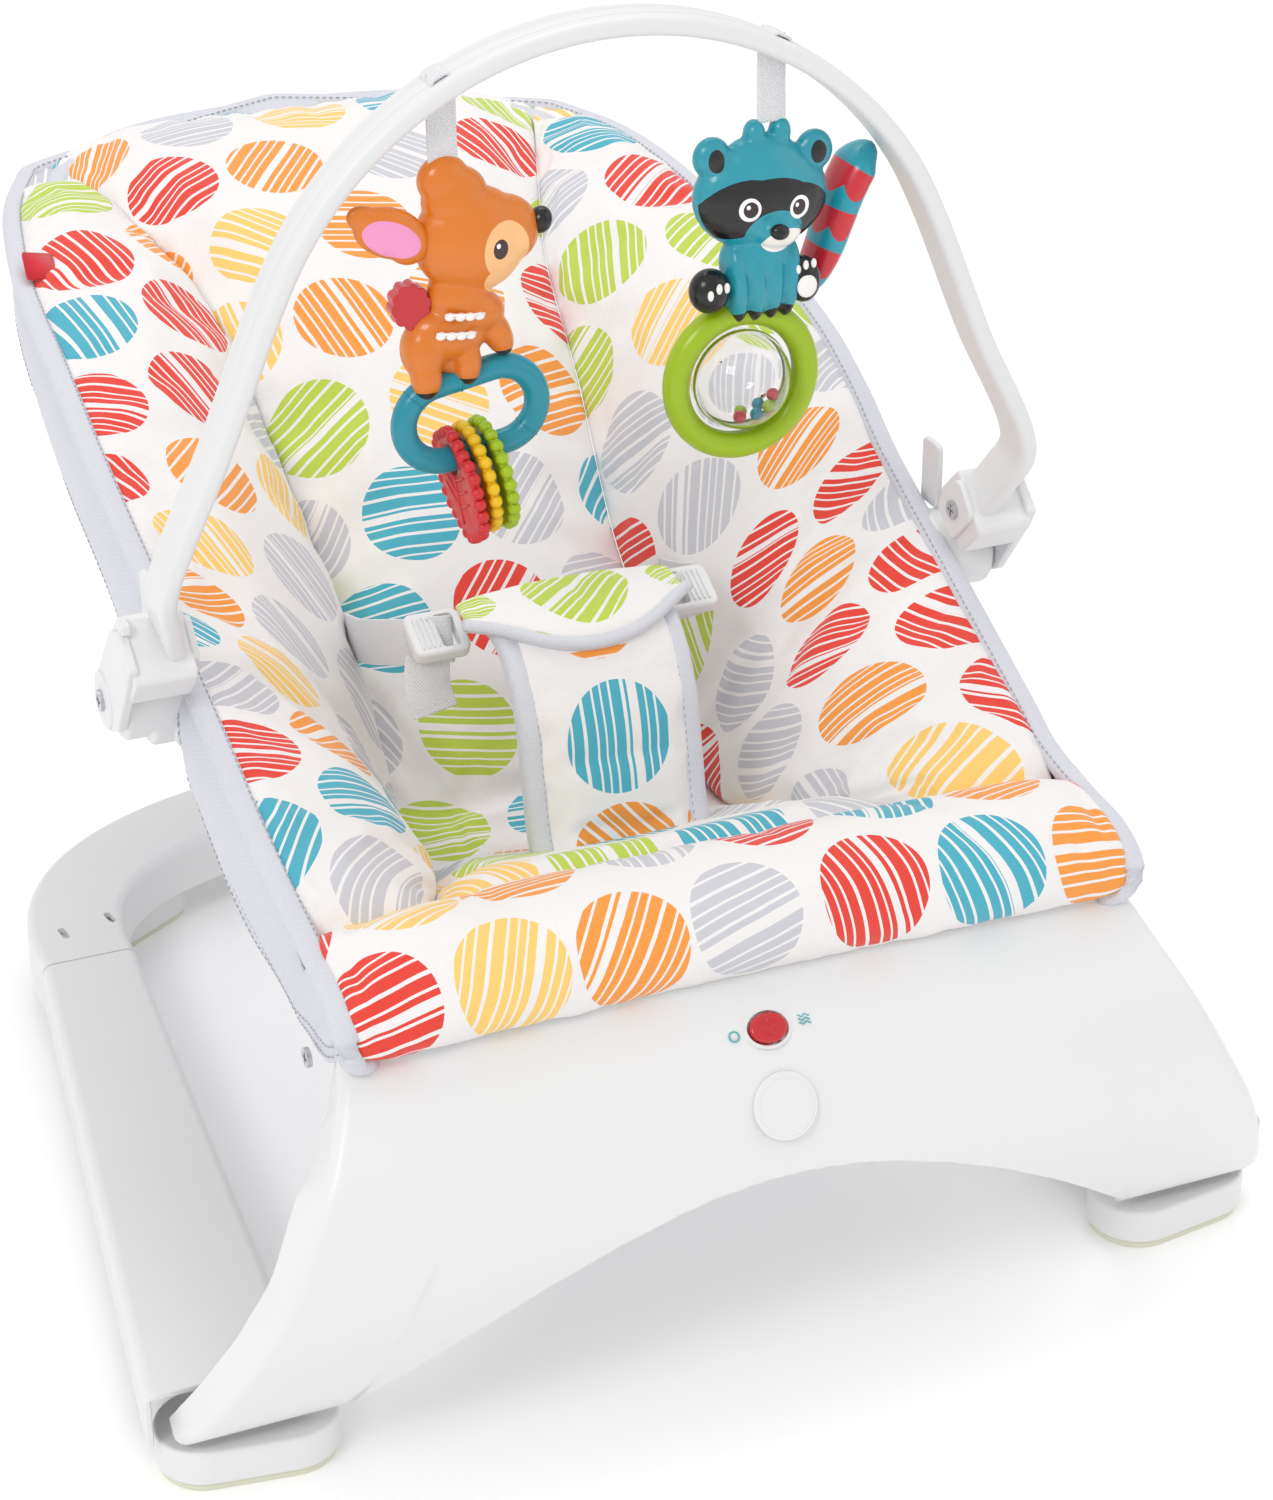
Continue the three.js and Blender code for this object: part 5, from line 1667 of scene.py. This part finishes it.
def raccoon():
    legs = []
    for k, x in enumerate((52.5, 60, 67.5, 75)):
        legs.append((x, -3.2 + 0.5 * abs(k - 1.5), -66, 4.9, 9.0, 16.5, (k - 1.5) * 3.0))
    return moulded("raccoon_figure", at_toy(raccoon_top, RACCOON + legs), raccoon_paint, 0.8, 5)


place(raccoon(), "raccoon_toy", "teal_plastic", "raccoon_body")
nose = ball("raccoon_nose", (65.5, BAR_Y - 16.0, HEAD_Z - 10.5), (4.0, 3, 3.2), black_gloss, 10)
place(nose, "raccoon_toy", "black_plastic")
for word, row in (
    ("left", (40.5, -5, -66.5, 8.6, 7.5, 9.2, 0)),
    ("right", (80.5, -6, -66.5, 7.6, 6, 10, -12)),
):
    paw = moulded(f"raccoon_{word}_paw", at_toy(raccoon_top, [row]), black_gloss, 0.8, 2)
    place(paw, "raccoon_toy", "black_plastic")
pads_white = []
for x, z, rx, rz, y in (
    (41.5, -63.5, 1.3, 2.2, -12.4), (45.3, -64, 1.3, 2.2, -11.2), (38, -66, 1.3, 2.2, -12.0),
    (79.8, -59.4, 1.2, 2.0, -10.6), (83.4, -59.2, 1.2, 2.0, -10.2), (76.6, -61, 1.2, 2.0, -10.3),
    (80.2, -68, 4.4, 4.8, -11.4),
):
    pads_white.append(ball("pad", (x, BAR_Y + y, raccoon_top + z), (rx, 1.0, rz), marks_white, 0, 16, 8))
place(merge("raccoon_paw_pads", pads_white), "raccoon_toy", "white_plastic")


def tail_paint():
    """Teal with three red bands that end in scallops."""
    p = Paint("raccoon_tail_plastic", raccoon_teal, 0.26, Coat_Weight=0.15)
    u, v, _ = p.split(p.where("UV"))
    level = v + (u * (math.pi / 0.0085)).to("SINE").to("ABSOLUTE") * 0.0045
    first, second, third = [(level > start) * (v < start + 0.0075) for start in (0.014, 0.031, 0.048)]
    total = first.to("MAXIMUM", second).to("MAXIMUM", third)
    colour = p.blend(total, raccoon_teal, rgb(205, 40, 52))
    spot = p.where()
    rough = p.spread(p.noise(spot, 90, 3), 0.3, 0.7, 0.2, 0.32)
    peel = p.bump(p.noise(spot, 700, 2), 0.00002, 0.5)
    return p.finish(Base_Color=colour, Roughness=rough, Normal=peel)


def raccoon_tail():
    back = BAR_Y + 9
    run = [(84, -76), (91, -71), (97, -60), (101, -48), (106, -35), (112, -25), (118, -20)]
    path = spline([(x, back, raccoon_top + z) for x, z in run], 48)
    t = np.linspace(0, 1, 48)
    width = 14 + 11 * np.sin(np.pi * np.clip(t * 0.62 + 0.04, 0, 1)) ** 0.9
    width *= np.sqrt(np.clip((1 - t) / 0.16, 0.004, 1))
    outline = np.stack([oval(w, w * 0.55 + 2, 24) @ np.array([[0, 1], [1, 0]]) for w in width])
    return sweep("raccoon_tail_body", path, outline, Y, tail_paint(), uv=True)


place(raccoon_tail(), "raccoon_toy", "teal_plastic", "raccoon_tail")

ball_low, ball_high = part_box("rattle_ball_front")
RING = np.array([57, BAR_Y, (ball_low.z + ball_high.z) / 2 / MM])
RING_R = 28.5
ring_outline = np.array([(x * (0.93 if abs(y) < 0.6 else 1), y) for x, y in oval(11, 11.4, 40)])
ring = hoop("rattle_ring_body", oval(2 * RING_R, 2 * RING_R, 96), RING, X, Z, ring_outline, Y, green_gloss)
place(ring, "raccoon_toy", "green_plastic", "rattle_ring")


BALL_R = 20.5
BEAD_R = 2.7


def sphere_shell(name, low, high, material, wall=1.0):
    """Part of a hollow ball between two depths along Y, as a share of its radius."""
    radius = BALL_R
    rows, cols = 24, 48
    tilt = np.linspace(math.asin(low), math.asin(high), rows)
    around = round_turn(cols)
    points = []
    for t, r in [(t, radius) for t in tilt] + [(t, radius - wall) for t in tilt[::-1]]:
        for a in around:
            out = np.array([math.cos(t) * math.cos(a), math.sin(t), math.cos(t) * math.sin(a)])
            points.append(RING + r * out)
    return make(name, points, quads(2 * rows, cols, True, True), material)


front_ball = sphere_shell("rattle_ball_clear_front", -0.9999, -0.02, clear)
back_ball = sphere_shell("rattle_ball_clear_back", 0.02, 0.9999, clear)
place(front_ball, "rattle_ball", "clear_plastic", "rattle_ball_front")
place(back_ball, "rattle_ball", "clear_plastic", "rattle_ball_back")
girdle = hoop("rattle_ball_girdle", oval(40.6, 40.6, 72), RING, X, Z, oval(1.2, 2.2, 12), Y, green_gloss)
place(girdle, "rattle_ball", "green_plastic")
BEADS = [
    ("red", (-3, -6, -14)), ("teal", (5, -5, -14.5)), ("green", (10, -6, -11.5)),
    ("teal", (8.5, 1, -13)), ("red", (13, -3, -8)), ("green", (1, 2, -15.5)),
]
bead_paint = {"red": red_gloss, "teal": teal_gloss, "green": green_gloss}
for number, (word, offset) in enumerate(BEADS):
    material = bead_paint[word]
    size = (BEAD_R, BEAD_R, BEAD_R)
    bead = ball(f"rattle_bead_{number}_{word}", RING + np.array(offset), size, material, 0, 18, 12)
    stands_for = {0: ("rattle_bead_red",), 1: ("rattle_bead_teal",)}.get(number, ())
    place(bead, "rattle_ball", f"{word}_plastic", *stands_for)


# ---- studio -------------------------------------------------------------------------------------
FLOOR_SIZE = 12.0


def studio():
    p = Paint("studio_floor", rgb(250, 250, 250), 0.6)
    tone = p.blend(p.noise(p.where(), 3, 2), rgb(248, 248, 248), rgb(251, 251, 251))
    floor_paint = p.finish(Base_Color=tone, Emission_Color=(1, 1, 1, 1), Emission_Strength=0.11)
    bpy.ops.mesh.primitive_plane_add(size=FLOOR_SIZE, location=(0, 0, cad_low.z))
    floor = bpy.context.active_object
    floor.name = "studio_floor"
    floor.data.materials.append(floor_paint)
    floor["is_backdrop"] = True
    world = bpy.data.worlds.new("studio_world")
    world.use_nodes = True
    world.node_tree.nodes["Background"].inputs["Color"].default_value = (1, 1, 1, 1)
    world.node_tree.nodes["Background"].inputs["Strength"].default_value = 0.84
    bpy.context.scene.world = world
    for name, spot, size, power in (
        ("key", (-1.6, -1.3, 1.9), 0.8, 15),
        ("fill", (1.9, -1.2, 1.3), 1.8, 4),
        ("top", (0.3, 0.6, 2.6), 1.6, 14),
    ):
        data = bpy.data.lights.new(name, "AREA")
        data.energy = power
        data.size = size
        light = bpy.data.objects.new(name, data)
        light.location = spot
        light.rotation_mode = "QUATERNION"
        light.rotation_quaternion = (Vector((0, 0, 0.2)) - Vector(spot)).to_track_quat("-Z", "Y")
        bpy.context.scene.collection.objects.link(light)
    bpy.context.scene.view_settings.view_transform = "Standard"


studio()
bpy.context.view_layer.update()
low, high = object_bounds()
